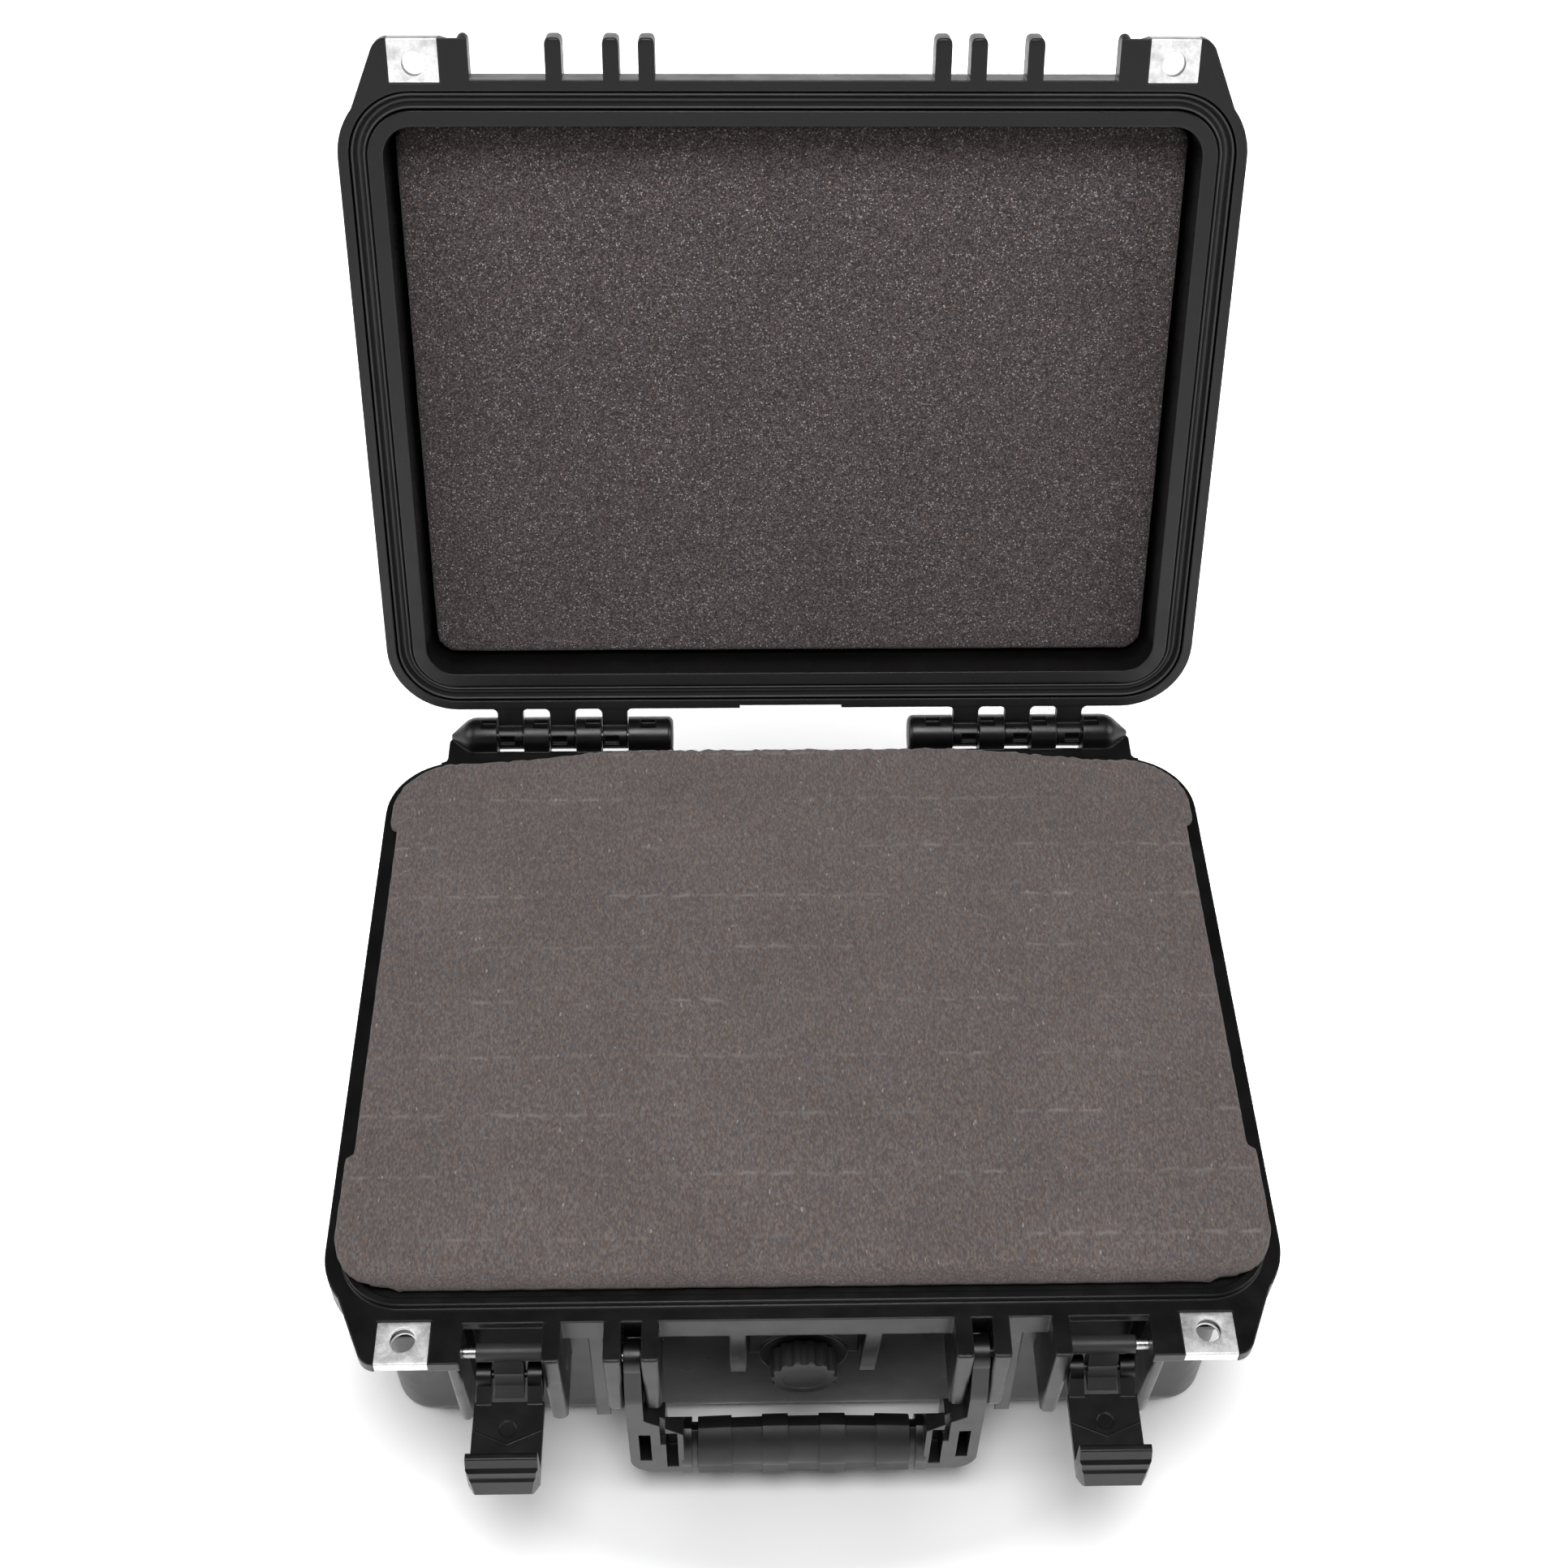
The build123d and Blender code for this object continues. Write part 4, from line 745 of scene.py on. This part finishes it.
def round_ribs(node, body, in_lid, top_radius, end_radius):
    """A copy of a shell with rounded noses on its ribs."""
    mesh = nodes[node].data.copy()
    form = bmesh.new()
    form.from_mesh(mesh)
    bmesh.ops.remove_doubles(form, verts=form.verts, dist=0.002 * MM)
    if in_lid:
        form.transform(open_turn.inverted())
    form.normal_update()
    # Flat faces come as triangles from the CAD model. In front they are joined before the cuts.
    front_y = shells_front_y * MM
    points = [vertex for vertex in form.verts if vertex.co.y < front_y]
    edges = [edge for edge in form.edges if all(vertex.co.y < front_y for vertex in edge.verts)]
    bmesh.ops.dissolve_limit(form, angle_limit=math.radians(0.2), verts=points, edges=edges)
    for low, high in right_ribs + left_ribs:
        cut_strips(form, low, high)
        for vertex in form.verts:
            vertex.co = push_back(vertex.co, low, high, top_radius, end_radius)
    for vertex in form.verts:
        vertex.co = vertex.co if in_lid else longer_low_rib(vertex.co)
    open_edges = sum(1 for edge in form.edges if not edge.is_manifold)
    bmesh.ops.triangulate(form, faces=form.faces)
    if in_lid:
        form.transform(open_turn)
    form.to_mesh(mesh)
    form.free()
    shell = show(node + "_rounded", mesh)
    mesh.name = shell.name
    # The normals that the CAD mesh carries no longer fit, so they are worked out again.
    mesh.attributes.remove(mesh.attributes["custom_normal"])
    mesh.shade_smooth()
    mesh.set_sharp_from_angle(angle=math.radians(30))
    mesh.materials.clear()
    mesh.materials.append(case_plastic)
    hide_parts(node)
    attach(shell, body)
    print(shell.name, len(mesh.polygons), "faces,", open_edges, "open edges")


# %% [markdown]
# ### Both shells
# The noses of the base start narrow at the rim and open out below it. Those of the lid are
# short, so one radius does for them.

# %% Shells with rounded ribs
round_ribs("base_shell", "case_base", in_lid=False, top_radius=0.9, end_radius=2.4)
round_ribs("lid_shell", "lid", in_lid=True, top_radius=1.9, end_radius=1.9)

# %% [markdown]
# ## Padlock clips
# Each clip is stamped from one millimetre sheet, folded over the ear, and tumbled, which rounds
# every edge; the padlock hole has a rolled lip. The CAD solid has sharp edges, so each clip is
# made again from a copy of it, with its back corners, its lip and its edges rounded.

# %% Helpers for clips
clip_middle = 138.95
clip_half = 9.35
clip_hole_y = -135.6
clip_back_y = -128.8
hole_radius = 4.35
corner_round, lip_round, edge_round = 1.2, 0.8, 0.15
side_gap = 0.15                # the clip is narrowed by this on each side


def round_edges(form, chosen, size_mm, steps):
    """Round some edges of a form."""
    bmesh.ops.bevel(form, geom=chosen, offset=size_mm * MM, offset_type="OFFSET", affect="EDGES",
                    segments=steps, profile=0.5, material=-1, clamp_overlap=True)


def on_back_corner(edge, middle_x):
    """Whether an upright edge stands at one of the clip's back corners."""
    places = [vertex.co / MM for vertex in edge.verts]
    return all(abs(abs(place.x - middle_x) - clip_half) < 0.05
               and abs(place.y - clip_back_y) < 0.05 for place in places)


def on_hole(edge, middle_x, outer_heights):
    """Whether an edge runs around the padlock hole on the clip's outside."""
    places = [vertex.co / MM for vertex in edge.verts]
    return all(abs(math.hypot(place.x - middle_x, place.y - clip_hole_y) - hole_radius) < 0.05
               and min(abs(place.z - height) for height in outer_heights) < 0.05
               for place in places)


def make_clip(node, middle_x, outer_heights, in_lid):
    """A rounded copy of one clip."""
    mesh = nodes[node].data.copy()
    form = bmesh.new()
    form.from_mesh(mesh)
    bmesh.ops.remove_doubles(form, verts=form.verts, dist=0.005 * MM)
    if in_lid:
        form.transform(open_turn.inverted())
    bmesh.ops.dissolve_limit(form, angle_limit=math.radians(1), verts=form.verts, edges=form.edges)
    corners = [edge for edge in form.edges if on_back_corner(edge, middle_x)]
    round_edges(form, corners, corner_round, 5)
    lips = [edge for edge in form.edges if on_hole(edge, middle_x, outer_heights)]
    round_edges(form, lips, lip_round, 4)
    sharp = [edge for edge in form.edges if edge.calc_face_angle(0.0) > math.radians(35)]
    round_edges(form, sharp, edge_round, 2)
    bmesh.ops.scale(form, vec=(1.0 - side_gap / clip_half, 1.0, 1.0), verts=form.verts,
                    space=Matrix.Translation((-middle_x * MM, 0.0, 0.0)))
    bmesh.ops.recalc_face_normals(form, faces=form.faces)
    open_edges = sum(1 for edge in form.edges if not edge.is_manifold)
    if in_lid:
        form.transform(open_turn)
    form.to_mesh(mesh)
    form.free()
    clip = show(node + "_rounded", mesh)
    mesh.name = clip.name
    mesh.shade_smooth()
    mesh.materials.clear()
    mesh.materials.append(clip_steel)
    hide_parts(node)
    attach(clip, "lid" if in_lid else "case_base")
    print(clip.name, len(mesh.polygons), "faces,", open_edges, "open edges")


# %% [markdown]
# ### The four clips
# A clip on the base lies close under one on the lid, so that one padlock goes through both. The
# heights are those of a clip's two outer faces on the closed case.

# %% Clips
base_clip_heights = (101.1, 105.9)
lid_clip_heights = (106.3, 111.1)

for side_name, side in (("right", 1), ("left", -1)):
    middle_x = side * clip_middle
    make_clip("base_padlock_clip_" + side_name, middle_x, base_clip_heights, in_lid=False)
    make_clip("lid_padlock_clip_" + side_name, middle_x, lid_clip_heights, in_lid=True)

# %% [markdown]
# ## The lid's seal
# A rubber seal lies in a channel around the lid. The base's tongue presses between its two
# tall ridges onto a low one. It could be a swept curve, but loops around one rounded rectangle
# follow the channel's corners exactly: each loop lies a step further in and higher or lower.

# %% Helpers for the seal
case_half_width = 169.5
case_half_depth = 130.0
rim_corner = 28.4

# Each point is (distance in from the rim's edge, height on the closed lid), and 0 for plain
# rubber or 1 for painted shade, nearly black, on the face on the way to it.
seal_profile = (
    (4.15, 110.8, 1), (4.2, 109.6, 1), (4.6, 109.6, 1), (4.7, 107.2, 1), (4.85, 106.75, 0),
    (5.2, 106.5, 0), (5.55, 106.75, 0), (5.75, 107.3, 0), (5.85, 109.3, 1), (6.5, 109.3, 1),
    (6.8, 108.85, 0), (7.45, 108.6, 0), (8.1, 108.85, 0), (8.4, 109.3, 0), (9.15, 109.3, 1),
    (9.25, 107.3, 1), (9.45, 106.75, 0), (9.8, 106.5, 0), (10.15, 106.75, 0), (10.3, 107.2, 0),
    (10.4, 109.6, 1), (10.8, 109.6, 1), (10.85, 110.8, 1),
)


def rounded_loop(form, half_x, half_y, corner, height, steps):
    """A loop of points around a rounded rectangle, in order."""
    points = []
    for quarter, (side_x, side_y) in enumerate(((1, 1), (-1, 1), (-1, -1), (1, -1))):
        for step in range(steps + 1):
            turn = math.radians(90) * (quarter + step / steps)
            points.append(form.verts.new((
                (side_x * (half_x - corner) + corner * math.cos(turn)) * MM,
                (side_y * (half_y - corner) + corner * math.sin(turn)) * MM, height * MM)))
    return points


def ring_with_profile(name, profile, half_x, half_y, corner, steps):
    """A closed ring that carries this profile around a rounded rectangle."""
    form = bmesh.new()
    loops = [rounded_loop(form, half_x - inward, half_y - inward, corner - inward, height, steps)
             for inward, height, _ in profile]
    around = len(loops[0])
    for number, (_, _, painted_shade_face) in enumerate(profile):
        before, here = loops[number - 1], loops[number]
        for place in range(around):
            after = (place + 1) % around
            face = form.faces.new((before[place], before[after], here[after], here[place]))
            # Faces marked 1 get the nearly black rubber: painted shade in the grooves.
            face.material_index = painted_shade_face
            face.smooth = True
    bmesh.ops.recalc_face_normals(form, faces=form.faces)
    mesh = bpy.data.meshes.new(name)
    form.to_mesh(mesh)
    form.free()
    return show(name, mesh)


# %% Seal
seal = ring_with_profile("lid_seal", seal_profile, case_half_width, case_half_depth,
                         rim_corner, steps=16)
seal.data.materials.append(seal_rubber)
seal.data.materials.append(seal_shade_rubber)
seal.data.transform(open_turn)
seal.data.shade_smooth()
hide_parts("lid_gasket")
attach(seal, "lid")
print("seal:", len(seal.data.polygons), "faces")

# %% [markdown]
# ## Moulding marks on the levers
# Inside each lever a low V-shaped line is moulded, a plain strengthening mark. One arm of it is
# a bar, cut off upright at the middle line and at its end; its mirror image completes the V. It
# could be drawn as bump in the material, but a raised line catches light from every side.

# %% Helpers for lever marks
lever_x = 103.6
lever_face_z = 81.87
mark_tip_y = -163.0
mark_rise = 5.2
mark_half = 12.0
mark_width = 0.8
mark_height = 0.3
overlap = 1.0                  # each arm is made this much too long at both ends, then cut


def everything(form):
    """All points, edges and faces of a form."""
    return form.verts[:] + form.edges[:] + form.faces[:]


def cut_off(form, place_mm, side):
    """Drop what lies beyond an upright plane on this side, and return the cut's edges."""
    cut = bmesh.ops.bisect_plane(form, geom=everything(form), plane_co=(place_mm * MM, 0, 0),
                                 plane_no=(side, 0, 0), clear_outer=True)
    return [edge for edge in cut["geom_cut"] if isinstance(edge, bmesh.types.BMEdge)]


def v_mark(name, middle_x):
    """A V-shaped raised line, half sunk in the lever's face."""
    form = bmesh.new()
    length = math.hypot(mark_half, mark_rise) + 2.0 * overlap
    turn = Matrix.Rotation(math.atan2(mark_rise, mark_half), 3, "Z")
    arm = bmesh.ops.create_cube(form, size=1.0)["verts"]
    bmesh.ops.scale(form, vec=(length * MM, mark_width * MM, 2 * mark_height * MM), verts=arm)
    bmesh.ops.translate(form, vec=((length / 2 - overlap) * MM, 0, 0), verts=arm)
    bmesh.ops.rotate(form, cent=(0, 0, 0), matrix=turn, verts=arm)
    cut_off(form, 0.0, -1)
    bmesh.ops.holes_fill(form, edges=cut_off(form, mark_half, 1))
    bmesh.ops.mirror(form, geom=everything(form), axis="X", merge_dist=0.01 * MM)
    bmesh.ops.remove_doubles(form, verts=form.verts, dist=0.01 * MM)
    bmesh.ops.recalc_face_normals(form, faces=form.faces)
    bmesh.ops.translate(form, vec=(middle_x * MM, mark_tip_y * MM, lever_face_z * MM),
                        verts=form.verts)
    mesh = bpy.data.meshes.new(name)
    form.to_mesh(mesh)
    form.free()
    return show(name, mesh)


# %% Lever marks
for side_name, side in (("right", 1), ("left", -1)):
    mark = v_mark("lever_mark_" + side_name, side * lever_x)
    mark.data.materials.append(latch_nylon)
    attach(mark, "lever_" + side_name)
    print(mark.name, len(mark.data.polygons), "faces")
